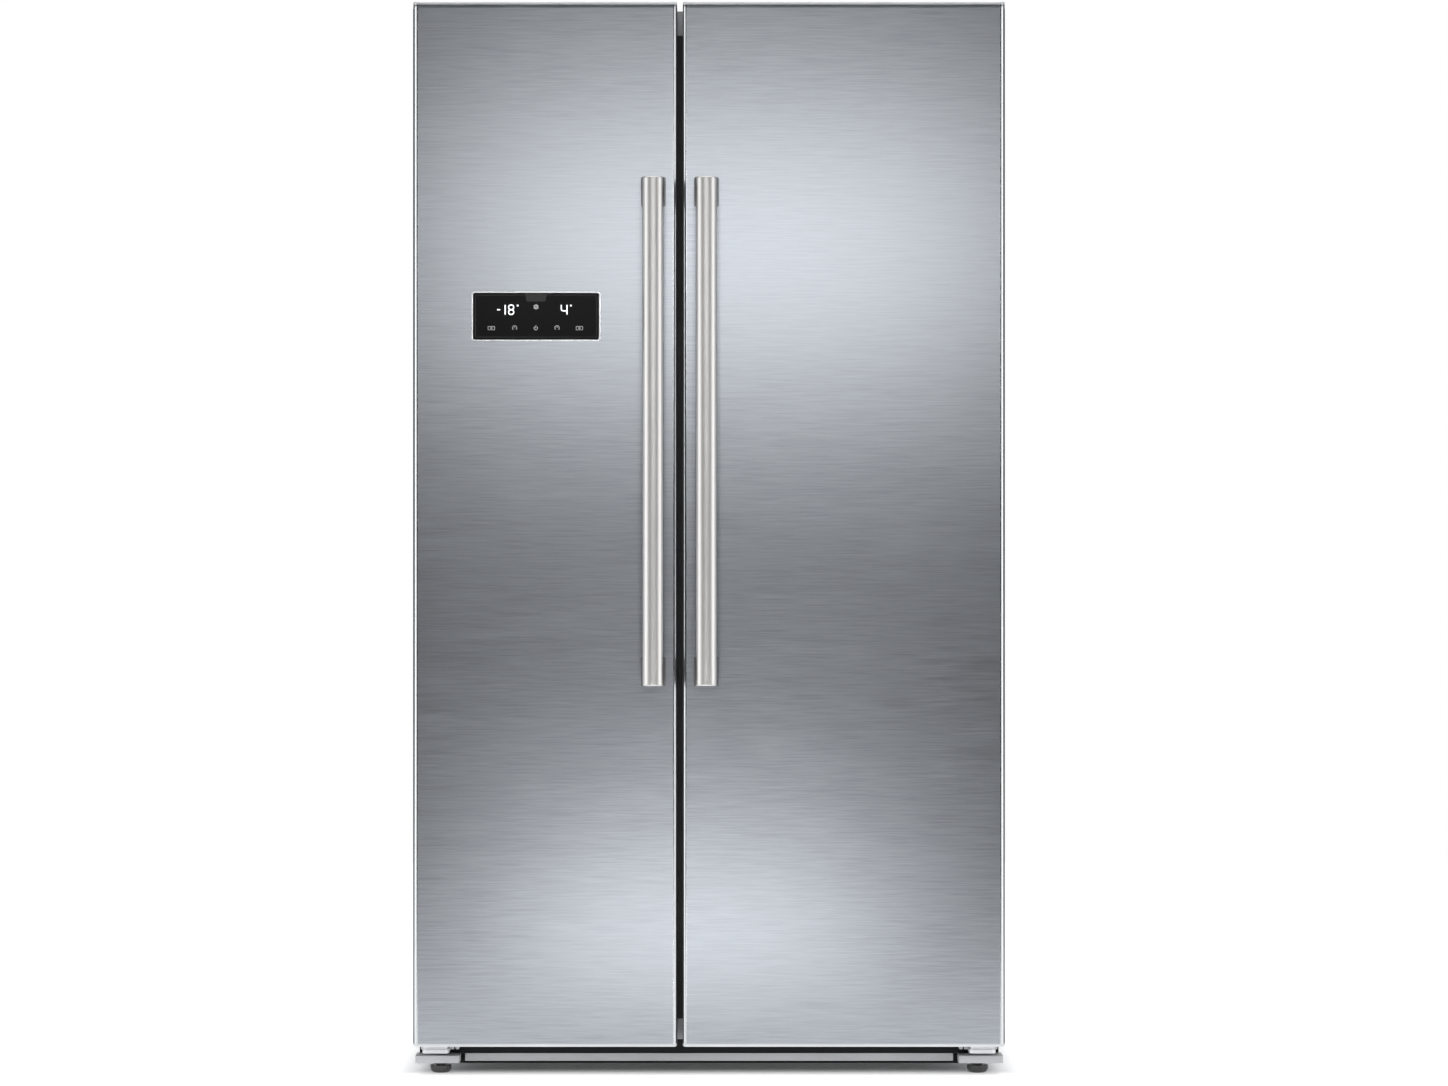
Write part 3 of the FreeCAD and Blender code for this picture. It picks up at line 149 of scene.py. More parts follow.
# Inside the box the glow drops almost to nothing, which paints the contact shadow under the
# refrigerator.
glow = nodes.new("ShaderNodeMapRange")
glow.interpolation_type = "SMOOTHSTEP"
glow.inputs["From Max"].default_value = PAINTED_SHADOW_EDGE
glow.inputs["To Min"].default_value = GLOW_IN_PAINTED_SHADOW
glow.inputs["To Max"].default_value = GLOW_OUTSIDE
links.new(on_floor.outputs["Object"], folded.inputs[0])
links.new(folded.outputs[0], beyond.inputs[0])
links.new(beyond.outputs[0], sides.inputs[0])
links.new(sides.outputs["X"], farthest.inputs[0])
links.new(sides.outputs["Y"], farthest.inputs[1])
links.new(farthest.outputs[0], glow.inputs["Value"])
links.new(glow.outputs[0], shader.inputs["Emission Strength"])
links.new(shader.outputs[0], output.inputs[0])

bm = bmesh.new()
bmesh.ops.create_grid(bm, x_segments=1, y_segments=1, size=0.5)
bmesh.ops.scale(bm, vec=(FLOOR_WIDTH, FLOOR_BACK - FLOOR_FRONT, 1), verts=bm.verts)
bmesh.ops.translate(bm, vec=(0, (FLOOR_BACK + FLOOR_FRONT) / 2, 0), verts=bm.verts)
floor = mesh_object(bm, "studio_floor", floor_paint)
print("floor runs from y =", FLOOR_FRONT, "to y =", FLOOR_BACK)

# %% World
BLACK_UNTIL = 0.30
GREY_FROM = 0.42
GREY_AHEAD = 0.82
ROOM_STRENGTH = 1.1

world = bpy.data.worlds.new("studio")
bpy.context.scene.world = world
world.use_nodes = True
nodes, links = world.node_tree.nodes, world.node_tree.links
nodes.clear()
where = nodes.new("ShaderNodeTexCoord")
split = nodes.new("ShaderNodeSeparateXYZ")
links.new(where.outputs["Generated"], split.inputs[0])
facing = nodes.new("ShaderNodeMapRange")
facing.inputs["From Min"].default_value = -1.0
links.new(split.outputs["Y"], facing.inputs["Value"])
ramp = nodes.new("ShaderNodeValToRGB").color_ramp
ramp_node = nodes[-1]
ramp.elements[0].position = BLACK_UNTIL
ramp.elements[0].color = (0.0, 0.0, 0.0, 1)
ramp.elements[1].position = GREY_FROM
ramp.elements[1].color = (0.27, 0.28, 0.30, 1)
ramp.elements.new(GREY_AHEAD).color = (0.20, 0.21, 0.22, 1)
links.new(facing.outputs[0], ramp_node.inputs[0])
room = nodes.new("ShaderNodeBackground")
room.inputs["Strength"].default_value = ROOM_STRENGTH
links.new(ramp_node.outputs[0], room.inputs["Color"])
backdrop = nodes.new("ShaderNodeBackground")
backdrop.inputs["Color"].default_value = (1, 1, 1, 1)
backdrop.inputs["Strength"].default_value = 1.0
rays = nodes.new("ShaderNodeLightPath")
either = nodes.new("ShaderNodeMixShader")
links.new(rays.outputs["Is Camera Ray"], either.inputs[0])
links.new(room.outputs[0], either.inputs[1])
links.new(backdrop.outputs[0], either.inputs[2])
world_out = nodes.new("ShaderNodeOutputWorld")
links.new(either.outputs[0], world_out.inputs[0])
print("the room is black behind the camera, grey elsewhere, and the backdrop is white")


# %% Lights
WATTS_PER_RADIANCE = 4


def soft_box(name, position, target, size, brightness):
    """An area light with an even glow of the given radiance."""
    data = bpy.data.lights.new(name, "AREA")
    data.shape = "RECTANGLE"
    data.size, data.size_y = size
    data.energy = brightness * WATTS_PER_RADIANCE * size[0] * size[1]
    light = place(bpy.data.objects.new(name, data))
    light.location = position
    aim = Vector(target) - Vector(position)
    light.rotation_euler = aim.to_track_quat("-Z", "Y").to_euler()
    light.visible_camera = False
    return light


soft_box("front_box", (0.035, -3.07, 1.485), (0.035, 0, 1.485), (1.26, 0.44), 4.3)
low_lamp = soft_box("low_lamp", (-0.035, -2.12, 0.03), (-0.035, -2.12, 2), (0.69, 1.37), 4.9)
low_lamp.rotation_euler = (pi, 0, 0)
soft_box("left_strip", (-3.4, -2.5, 1.2), (0, -0.35, 0.95), (2.4, 3.0), 1.9)
soft_box("right_strip", (3.4, -2.5, 1.2), (0, -0.35, 0.95), (2.4, 3.0), 1.9)
soft_box("overhead", (0, -0.7, 4.2), (0, -0.7, 0), (5.0, 5.0), 1.7)
soft_box("rear_fill", (0.5, 7.0, 2.0), (0, 0, 0.9), (3.0, 2.4), 0.9)

# %% [markdown]
# ## Finishes
#
# Each finish below is a small node tree on Object coordinates, so the grain keeps its real size on
# every piece. Noise that is stretched along one axis makes brushing; even noise makes moulded or
# painted surfaces. In a brushed metal the fine noise moves the colour, the roughness and a shallow
# bump together, because a scratch on the real surface changes all three. Paint and plastic have a
# slow noise for colour and gloss, and a fine one for the bump.


# %% Helpers for node trees
def noise(nodes, links, scale, stretch=(1, 1, 1), detail=3.0, rough=0.55, turn=(0, 0, 0)):
    """Noise on Object coordinates, finer along the axes with a large stretch."""
    coordinate = nodes.new("ShaderNodeTexCoord")
    mapping = nodes.new("ShaderNodeMapping")
    mapping.inputs["Scale"].default_value = stretch
    mapping.inputs["Rotation"].default_value = turn
    texture = nodes.new("ShaderNodeTexNoise")
    texture.inputs["Scale"].default_value = scale
    texture.inputs["Detail"].default_value = detail
    texture.inputs["Roughness"].default_value = rough
    links.new(coordinate.outputs["Object"], mapping.inputs["Vector"])
    links.new(mapping.outputs[0], texture.inputs["Vector"])
    return texture.outputs["Fac"]


def spread(nodes, links, factor, low, high, start=0.3, end=0.7):
    """Maps a noise value between start and end onto the values low to high."""
    node = nodes.new("ShaderNodeMapRange")
    node.inputs["From Min"].default_value = start
    node.inputs["From Max"].default_value = end
    node.inputs["To Min"].default_value = low
    node.inputs["To Max"].default_value = high
    links.new(factor, node.inputs["Value"])
    return node.outputs[0]


def tint(nodes, links, factor, dark, light, start=0.35, end=0.65):
    """Mixes two colours by a noise value."""
    node = nodes.new("ShaderNodeValToRGB")
    node.color_ramp.elements[0].position = start
    node.color_ramp.elements[0].color = (*dark, 1)
    node.color_ramp.elements[1].position = end
    node.color_ramp.elements[1].color = (*light, 1)
    links.new(factor, node.inputs[0])
    return node.outputs[0]


def bump(nodes, links, factor, strength, distance):
    """Turns a noise value into a shallow relief."""
    node = nodes.new("ShaderNodeBump")
    node.inputs["Strength"].default_value = strength
    node.inputs["Distance"].default_value = distance
    links.new(factor, node.inputs["Height"])
    return node.outputs[0]


print("helpers ready")


# %% [markdown]
# Brushed steel and aluminium: the belt leaves thousands of hair-thin lines in one direction. One
# stretched noise is the fine hair, a second coarser one is the uneven pressure of the belt.

# %% Brushed metal
FINE_SHARE = 0.85
COARSE_SHARE = 0.15
COARSE_SCALE = 160
SCRATCH_DEPTH = 0.00003


def brushed_metal(name, dark, light, along, roughness=(0.2, 0.27), hair=700, strength=0.12):
    """Metal with fine lines that run along one axis: 'x' or 'z'."""
    material, nodes, links, output = new_material(name)
    shader = nodes.new("ShaderNodeBsdfPrincipled")
    shader.inputs["Metallic"].default_value = 1.0
    fine_stretch = {"x": (0.022, 1, 1), "z": (1, 1, 0.008)}[along]
    coarse_stretch = {"x": (0.03, 0.4, 0.4), "z": (0.4, 0.4, 0.03)}[along]
    fine = noise(nodes, links, hair, fine_stretch, 5.0, 0.6)
    coarse = noise(nodes, links, COARSE_SCALE, coarse_stretch, 3.0)
    both = nodes.new("ShaderNodeMath")
    both.operation = "MULTIPLY_ADD"
    both.inputs[1].default_value = COARSE_SHARE
    links.new(coarse, both.inputs[0])
    scaled = nodes.new("ShaderNodeMath")
    scaled.operation = "MULTIPLY"
    scaled.inputs[1].default_value = FINE_SHARE
    links.new(fine, scaled.inputs[0])
    links.new(scaled.outputs[0], both.inputs[2])
    links.new(tint(nodes, links, both.outputs[0], dark, light), shader.inputs["Base Color"])
    links.new(spread(nodes, links, both.outputs[0], *roughness), shader.inputs["Roughness"])
    links.new(bump(nodes, links, fine, strength, SCRATCH_DEPTH), shader.inputs["Normal"])
    links.new(shader.outputs[0], output.inputs[0])
    return material


stainless = brushed_metal("stainless_sheet", (0.315, 0.332, 0.357), (0.405, 0.427, 0.46), "x",
                          (0.285, 0.34))
# The fold steel is lighter than the flat sheet: a painted highlight on the bends.
fold_steel_painted_highlight = brushed_metal("fold_steel_painted_highlight", (0.47, 0.482, 0.495), (0.54, 0.552, 0.565), "z",
                               (0.22, 0.27), strength=0.04)
handle_metal = brushed_metal("handle_aluminium", (0.57, 0.562, 0.55), (0.61, 0.60, 0.588), "z",
                             (0.38, 0.41), 900, 0.015)
print("brushed metals:", stainless.name, fold_steel_painted_highlight.name, handle_metal.name)


# %% [markdown]
# Painted and moulded surfaces share one recipe. A painted sheet shows a wide, shallow orange peel.
# A moulded plastic shows a fine spark-eroded grain. Mostly the scale, depth and gloss differ.

# %% Paint and plastic
def coated(name, colour, roughness, grain=900, depth=0.00004, strength=0.15, metallic=0.0,
           variation=0.10, coat=0.0, specular=0.5):
    """Paint or plastic: a fine grain, with slow drifts of colour and gloss over the surface."""
    material, nodes, links, output = new_material(name)
    shader = nodes.new("ShaderNodeBsdfPrincipled")
    shader.inputs["Metallic"].default_value = metallic
    shader.inputs["Coat Weight"].default_value = coat
    shader.inputs["Specular IOR Level"].default_value = specular
    slow = noise(nodes, links, 9, detail=4.0)
    fine = noise(nodes, links, grain, detail=2.0)
    dark = tuple(c * (1 - variation) for c in colour)
    light = tuple(min(1.0, c * (1 + variation)) for c in colour)
    links.new(tint(nodes, links, slow, dark, light, 0.25, 0.75), shader.inputs["Base Color"])
    links.new(spread(nodes, links, slow, roughness * 0.9, roughness * 1.12),
              shader.inputs["Roughness"])
    links.new(bump(nodes, links, fine, strength, depth), shader.inputs["Normal"])
    links.new(shader.outputs[0], output.inputs[0])
    return material


cabinet_paint = coated("cabinet_paint", (0.36, 0.37, 0.385), 0.38, 420, 0.00008, 0.2, 0.35, 0.05)
grey_plastic = coated("grey_plastic", (0.42, 0.425, 0.435), 0.42)
cap_plastic = coated("cap_plastic", (0.55, 0.56, 0.575), 0.33, metallic=0.5)
white_liner = coated("white_liner", (0.86, 0.875, 0.88), 0.24, 300, 0.00003, 0.1, variation=0.02)
dark_plastic = coated("dark_plastic", (0.028, 0.028, 0.031), 0.45, 1200)
# The door sides past the bend are dark grey: painted shade at the outer edges.
door_side_painted_shade = coated("door_side_painted_shade", (0.060, 0.064, 0.070), 0.42, 420, 0.00006, 0.2,
                         specular=0.3)
# Near-black boards under the doors: painted shade in the gap above the plinth.
toe_painted_shade = coated("toe_painted_shade", (0.010, 0.010, 0.011), 0.6, 1200, specular=0.12)
foot_plastic = coated("foot_plastic", (0.05, 0.05, 0.052), 0.26, 1100)
black_enamel = coated("black_enamel", (0.012, 0.012, 0.014), 0.22, 260, 0.00006, 0.2, coat=0.4)
zinc_steel = coated("zinc_steel", (0.50, 0.51, 0.52), 0.36, 60, 0.00003, 0.2, 1.0, 0.16)
galvanised = coated("galvanised_sheet", (0.40, 0.41, 0.42), 0.42, 45, 0.00003, 0.2, 0.9, 0.14)
hinge_paint = coated("hinge_paint", (0.62, 0.63, 0.64), 0.34, 700, metallic=0.3)
post_metal = coated("post_metal", (0.20, 0.20, 0.205), 0.34, 900, metallic=0.85)
# Near-black back of the handle bar: painted shade behind the bar.
handle_back_painted_shade = coated("handle_back_painted_shade", (0.03, 0.03, 0.032), 0.5, 900, specular=0.2)
gasket_rubber = coated("gasket_rubber", (0.05, 0.051, 0.053), 0.62, 1600, variation=0.06,
                       specular=0.25)
trim_plastic = coated("trim_plastic", (0.62, 0.64, 0.66), 0.3, metallic=0.2)
bezel_silver = coated("bezel_silver", (0.64, 0.645, 0.655), 0.24, 1500, 0.00002, metallic=0.85)
copper = coated("drawn_copper", (0.74, 0.36, 0.22), 0.3, 200, metallic=1.0, variation=0.2)
fin_metal = coated("fin_aluminium", (0.74, 0.75, 0.76), 0.3, 500, metallic=1.0)
coil_black = coated("coil_black", (0.03, 0.03, 0.032), 0.4, 500, metallic=0.3)
foam = coated("duct_foam", (0.84, 0.84, 0.82), 0.75, 260, 0.0004, 0.4, variation=0.05)
lamp_lens = coated("lamp_lens", (0.90, 0.90, 0.87), 0.3, 700)
print("coated finishes ready")


# %% [markdown]
# Clear parts: the shelves are toughened float glass, greenish where it is looked at edge-on. The
# drawers and door trays are clear polystyrene with a slightly hazy surface.

# %% Clear glass and plastic
def clear(name, colour, roughness, ior, grain, depth):
    """A see-through solid with a faint surface ripple."""
    material, nodes, links, output = new_material(name)
    shader = nodes.new("ShaderNodeBsdfPrincipled")
    shader.inputs["Transmission Weight"].default_value = 1.0
    shader.inputs["IOR"].default_value = ior
    haze = noise(nodes, links, 14, detail=3.0)
    ripple = noise(nodes, links, grain, detail=2.0)
    dark = tuple(c * 0.96 for c in colour)
    links.new(tint(nodes, links, haze, dark, colour), shader.inputs["Base Color"])
    links.new(spread(nodes, links, haze, roughness * 0.7, roughness * 1.4),
              shader.inputs["Roughness"])
    links.new(bump(nodes, links, ripple, 0.1, depth), shader.inputs["Normal"])
    links.new(shader.outputs[0], output.inputs[0])
    return material


shelf_glass = clear("shelf_glass", (0.86, 0.95, 0.92), 0.02, 1.52, 30, 0.0001)
clear_plastic = clear("clear_plastic", (0.93, 0.96, 0.98), 0.07, 1.49, 120, 0.0001)
display_black = coated("display_black", (0.005, 0.005, 0.0055), 0.16, 2500, 0.00001, 0.05,
                       specular=0.03)
print("clear finishes ready")


# %% Lit marks
def lit(name, colour, strength):
    """A mark that glows a little unevenly, as behind a real diffuser."""
    material, nodes, links, output = new_material(name)
    shader = nodes.new("ShaderNodeBsdfPrincipled")
    shader.inputs["Base Color"].default_value = (*colour, 1)
    shader.inputs["Roughness"].default_value = 0.4
    uneven = noise(nodes, links, 350, detail=2.0)
    links.new(tint(nodes, links, uneven, tuple(c * 0.85 for c in colour), colour),
              shader.inputs["Emission Color"])
    shader.inputs["Emission Strength"].default_value = strength
    links.new(shader.outputs[0], output.inputs[0])
    return material


digit_light = lit("digit_light", (0.95, 0.97, 1.0), 0.9)
icon_light = lit("icon_light", (0.60, 0.61, 0.62), 0.32)
print("lit marks ready")

# %% [markdown]
# ## Parts that keep their shape
#
# A plain part such as a sheet, a rail or a compressor is already right in the frame. It only takes
# a finish, which replaces the plain colour in its material slot.

# %% Finishes for the frame's own parts
finish_of = {
    "outer_shell": cabinet_paint,
    "rear_panel": galvanised,
    "cabinet_foam": foam,
    "cabinet_liners": white_liner,
    "drawer_rails": white_liner,
    "base_frame": zinc_steel,
    "lower_hinges": hinge_paint,
    "upper_hinges": hinge_paint,
    "hinge_bolts": zinc_steel,
    "machine_cover": galvanised,
    "compressor": black_enamel,
    "condenser": coil_black,
    "condenser_fan_shroud": dark_plastic,
    "condenser_fan": dark_plastic,
    "drip_tray": dark_plastic,
    "refrigerant_tubes": copper,
    "evaporator": fin_metal,
    "evaporator_cover": white_liner,
    "evaporator_fan": dark_plastic,
    "evaporator_fan_motor": dark_plastic,
    "fridge_air_duct": foam,
    "control_module": dark_plastic,
    "interior_lamps": lamp_lens,
    "shelf_trims": trim_plastic,
}
for node in parts:
    if "shelf_" in node and node != "shelf_trims":
        finish_of[node] = shelf_glass
    if "drawer_lower" in node or "drawer_upper" in node or "door_bins" in node:
        finish_of[node] = clear_plastic
    if node.endswith("_door_liner"):
        finish_of[node] = white_liner
    if node.endswith("_door_foam"):
        finish_of[node] = foam
for node, finish in finish_of.items():
    for slot in parts[node].material_slots:
        slot.material = finish
print(len(finish_of), "parts keep their shape and take a finish")

# %% [markdown]
# ## Door skins
#
# A door skin is one sheet of brushed steel, folded round a small radius at each upright edge. It
# could be extruded from a curve, but a box is quicker: take the ends and the back off, bevel the two
# front uprights with as many segments as the bend needs, and give the sheet its thickness. The bends
# take a lighter and smoother steel, a painted highlight, so that they read as bright lines, and the
# sides of the door past the bend are dark grey, painted shade. A notch at the top of the outer side
# lets the hinge arm through when the door swings.


# %% Helpers for pieces
def block(bm, low, high):
    """A box between two corners, as a list of its vertices."""
    made = bmesh.ops.create_cube(bm, size=1.0)["verts"]
    low, high = Vector(low), Vector(high)
    bmesh.ops.scale(bm, vec=high - low, verts=made)
    bmesh.ops.translate(bm, vec=(low + high) / 2, verts=made)
    return made


def edges_of(verts):
    """Every edge that meets one of the vertices."""
    return list({e for v in verts for e in v.link_edges})


def verts_of(geometry):
    """The vertices in a mixed list of geometry."""
    return [v for v in geometry if isinstance(v, bmesh.types.BMVert)]


def along(edge, axis):
    """True if an edge runs along the axis with this index."""
    step = (edge.verts[1].co - edge.verts[0].co).normalized()
    return abs(step[axis]) > 0.999


def middle(edge):
    """The point halfway along an edge."""
    return (edge.verts[0].co + edge.verts[1].co) / 2


def soften(bm, edges, radius, segments=4):
    """Rounds the given edges."""
    bmesh.ops.bevel(bm, geom=list(edges), offset=radius, offset_type="OFFSET", segments=segments,
                    profile=0.5, affect="EDGES", material=-1, clamp_overlap=True)


def slice_all(bm, point, normal):
    """Cuts every face that a plane passes through, and keeps both sides."""
    bmesh.ops.bisect_plane(bm, geom=bm.verts[:] + bm.edges[:] + bm.faces[:],
                           plane_co=point, plane_no=normal)


def face_forward(bm):
    """Turns the faces of an open shell outward, which for a front means towards -Y."""
    bmesh.ops.recalc_face_normals(bm, faces=bm.faces)
    if sum(f.normal.y * f.calc_area() for f in bm.faces) > 0:
        bmesh.ops.reverse_faces(bm, faces=bm.faces)


def thicken(obj, label, thickness):
    """Gives an open shell its thickness, on the inner side."""
    wall = obj.modifiers.new(label, "SOLIDIFY")
    wall.thickness = thickness
    wall.offset = -1.0


def rounded_block(bm, low, high, radius, segments=3, axis=None):
    """A box with all its edges rounded, or only those along one axis."""
    made = block(bm, low, high)
    chosen = [e for e in edges_of(made) if axis is None or along(e, axis)]
    soften(bm, chosen, radius, segments)


def disc_bar(bm, start, end, radius, segments=32):
    """A closed round bar between two points, as a list of its vertices."""
    start, end = Vector(start), Vector(end)
    made = bmesh.ops.create_cone(bm, cap_ends=True, segments=segments, radius1=radius,
                                 radius2=radius, depth=(end - start).length)["verts"]
    turn = (end - start).to_track_quat("Z", "Y").to_matrix()
    bmesh.ops.rotate(bm, cent=(0, 0, 0), matrix=turn, verts=made)
    bmesh.ops.translate(bm, vec=(start + end) / 2, verts=made)
    return made


def smooth(obj, sharp=35):
    """Smooth shading that leaves large flat faces flat and keeps sharp edges."""
    obj.data.shade_smooth()
    obj.data.set_sharp_from_angle(angle=radians(sharp))
    even = obj.modifiers.new("even_normals", "WEIGHTED_NORMAL")
    even.keep_sharp = True
    even.weight = 80


def piece(bm, name, body, finish, replaces=(), sharp=35):
    """Closes a bmesh into a finished piece that rides on a body."""
    bmesh.ops.remove_doubles(bm, verts=bm.verts, dist=0.00001)
    bmesh.ops.recalc_face_normals(bm, faces=bm.faces)
    made = mesh_object(bm, name, finish)
    smooth(made, sharp)
    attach(made, body)
    if replaces:
        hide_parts(*replaces)
    print(name, "has", len(made.data.polygons), "faces")
    return made


# %% Door skins
SHEET = 0.001
OUTER_BEND = 0.008
GAP_BEND = 0.006
NOTCH_DEEP = 0.006
NOTCH_SETBACK = 0.005
OUTER_PART_X = 0.3
BEND_SEGMENTS = 12
FRONT_TURN = 0.02
FOLD_TURN = 0.66
WINDOW_LAP = 0.001
glass_low, glass_high = corners("display_glass")


def cut_hinge_notch(bm, outward, low, high):
    """Takes the top of the outer side away, so that the hinge arm passes as the door turns."""
    floor_z = high.z - NOTCH_DEEP
    front_y = low.y + NOTCH_SETBACK
    slice_all(bm, (0, 0, floor_z), (0, 0, 1))
    slice_all(bm, (0, front_y, 0), (0, 1, 0))
    notch = [f for f in bm.faces if f.calc_center_median().z > floor_z
             and f.calc_center_median().y > front_y
             and f.calc_center_median().x * outward > OUTER_PART_X]
    bmesh.ops.delete(bm, geom=notch, context="FACES")


def door_skin(door, window=None):
    """The folded face of one door, with an opening where a window is given."""
    node = f"{door}_door_skin"
    low, high = corners(node)
    outward = -1 if door == "freezer" else 1
    bm = bmesh.new()
    block(bm, low, high)
    gone = [f for f in bm.faces if abs(f.normal.z) > 0.9 or f.normal.y > 0.9]
    bmesh.ops.delete(bm, geom=gone, context="FACES")
    for side, bend in ((outward, OUTER_BEND), (-outward, GAP_BEND)):
        edge_x = high.x if side > 0 else low.x
        front = [e for e in bm.edges if along(e, 2) and abs(middle(e).x - edge_x) < 0.0001
                 and middle(e).y < low.y + 0.0001]
        soften(bm, front, bend, BEND_SEGMENTS)
    if window:
        (x0, z0), (x1, z1) = window
        for point, normal in (((x0, 0, 0), (1, 0, 0)), ((x1, 0, 0), (1, 0, 0)),
                              ((0, 0, z0), (0, 0, 1)), ((0, 0, z1), (0, 0, 1))):
            slice_all(bm, point, normal)
        hole = [f for f in bm.faces if x0 < f.calc_center_median().x < x1
                and z0 < f.calc_center_median().z < z1 and f.normal.y < -0.9]
        bmesh.ops.delete(bm, geom=hole, context="FACES")
    cut_hinge_notch(bm, outward, low, high)
    face_forward(bm)
    # Faces turned a little from the front take the lighter fold steel, a painted highlight; faces
    # turned far away take the dark side grey, painted shade.
    for face in bm.faces:
        turned_away = abs(face.normal.x)
        if turned_away < FRONT_TURN:
            face.material_index = 0
        elif turned_away < FOLD_TURN:
            face.material_index = 1
        else:
            face.material_index = 2
    shell = mesh_object(bm, f"{door}_steel_skin", stainless)
    shell.data.materials.append(fold_steel_painted_highlight)
    shell.data.materials.append(door_side_painted_shade)
    thicken(shell, "sheet", SHEET)
    smooth(shell)
    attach(shell, f"{door}_door")
    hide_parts(node)
    return shell


opening = ((glass_low.x + WINDOW_LAP, glass_low.z + WINDOW_LAP),
           (glass_high.x - WINDOW_LAP, glass_high.z - WINDOW_LAP))
for door, window in (("freezer", opening), ("fridge", None)):
    skin = door_skin(door, window)
    print(skin.name, "has", len(skin.data.polygons), "faces before its thickness")

# %% [markdown]
# ## End caps
#
# A moulded cap closes the sheet at the top and bottom of each door. The frame's caps already have the
# hinge sockets, so they stay and take a satin finish.

# %% End caps
for door in ("freezer", "fridge"):
    for slot in parts[f"{door}_door_caps"].material_slots:
        slot.material = cap_plastic
print("end caps finished")

# %% [markdown]
# ## Handles
#
# Each handle is an extruded bar with an oval section, held off the door by two cast posts. A
# circle squeezed into an oval and extruded gives the section, and a small bevel breaks the sharp
# rim at both ends. Brushing runs along the bar. Its rearward faces take a near-black finish, painted
# shade, which shows as a soft dark line on the door beside the bar.


# %% Handle bars and posts
RAIL_RIM = 0.0022
BACK_TURN = -0.32
POST_TALL = 0.041
POST_EDGE = 0.0028
FLANGE = 0.002
FLANGE_EDGE = 0.0009


def handle(door):
    """The bar and the two posts of one door."""
    low, high = corners(f"{door}_handle_bar")
    centre = (low + high) / 2
    bm = bmesh.new()
    ring = bmesh.ops.create_circle(bm, cap_ends=True, segments=64, radius=1.0)["verts"]
    bmesh.ops.scale(bm, vec=((high.x - low.x) / 2, (high.y - low.y) / 2, 1), verts=ring)
    bmesh.ops.translate(bm, vec=(centre.x, centre.y, low.z), verts=ring)
    grown = bmesh.ops.extrude_face_region(bm, geom=bm.faces[:])["geom"]
    bmesh.ops.translate(bm, vec=(0, 0, high.z - low.z), verts=verts_of(grown))
    rims = [e for e in bm.edges if abs(e.verts[0].co.z - e.verts[1].co.z) < 0.0001]
    soften(bm, rims, RAIL_RIM, 4)
    bmesh.ops.recalc_face_normals(bm, faces=bm.faces)
    # Rearward faces take the near-black finish: painted shade on the back of the bar.
    for face in bm.faces:
        rearward = face.normal.y > BACK_TURN and abs(face.normal.z) < 0.5
        face.material_index = 1 if rearward else 0
    rail = piece(bm, f"{door}_handle_rail", f"{door}_door", handle_metal,
                 (f"{door}_handle_bar",))
    rail.data.materials.append(handle_back_painted_shade)
    post_low, post_high = corners(f"{door}_handle_posts")
    bm = bmesh.new()
    for z in (post_low.z, post_high.z - POST_TALL):
        rounded_block(bm, (post_low.x, centre.y + 0.0005, z),
                      (post_high.x, DOOR_FACE - 0.0002, z + POST_TALL), POST_EDGE, 4)
        rounded_block(bm, (post_low.x - FLANGE, DOOR_FACE - FLANGE, z - FLANGE),
                      (post_high.x + FLANGE, DOOR_FACE, z + POST_TALL + FLANGE), FLANGE_EDGE, 2)
    piece(bm, f"{door}_handle_feet", f"{door}_door", post_metal,
          (f"{door}_handle_posts",))


for door in ("freezer", "fridge"):
    handle(door)

# %% [markdown]
# ## Display
#
# The display is a black glass tile in a silver rim. A set of lit strokes makes the two temperatures.
# Digits of this kind have round ends and even strokes, so they are drawn as curves with a round
# section, made a mesh, and pressed nearly flat on the face of the glass.

# %% Display rim and glass
rim_low, rim_high = corners("display_bezel")
pane_front = glass_low.y
pane_centre = (glass_low + glass_high) / 2
CORNER = 0.0034
RIM_CORNER = CORNER + 0.0016
RIM_WIDE = 0.0017
RIM_DEEP = 0.0012
RIM_EDGE = 0.0004
TILE_GAP = 0.0002
TILE_THICK = 0.0009

bm = bmesh.new()
rounded_block(bm, rim_low, (rim_high.x, DOOR_FACE, rim_high.z), RIM_CORNER, 6, axis=1)
front = [f for f in bm.faces if f.normal.y < -0.9]
bmesh.ops.inset_region(bm, faces=front, thickness=RIM_WIDE, use_even_offset=True)
front = [f for f in bm.faces if f.normal.y < -0.9 and f.calc_area() > 0.005]
inner = bmesh.ops.extrude_face_region(bm, geom=front)["geom"]
bmesh.ops.translate(bm, vec=(0, RIM_DEEP, 0), verts=verts_of(inner))
bmesh.ops.delete(bm, geom=front, context="FACES")
lip = [e for e in bm.edges if len(e.link_faces) == 2 and middle(e).y < rim_low.y + 0.0001
       and e.calc_face_angle(0) > 1.0]
soften(bm, lip, RIM_EDGE, 2)
piece(bm, "display_rim", "freezer_door", bezel_silver, ("display_bezel",))

bm = bmesh.new()
rounded_block(bm, (glass_low.x + TILE_GAP, pane_front, glass_low.z + TILE_GAP),
              (glass_high.x - TILE_GAP, pane_front + TILE_THICK, glass_high.z - TILE_GAP),
              CORNER, 6, axis=1)
piece(bm, "display_tile", "freezer_door", display_black, ("display_glass",))
print("tile", [round(v, 4) for v in glass_high - glass_low])


# %% Lit strokes
PRESSED_FLAT = 0.12


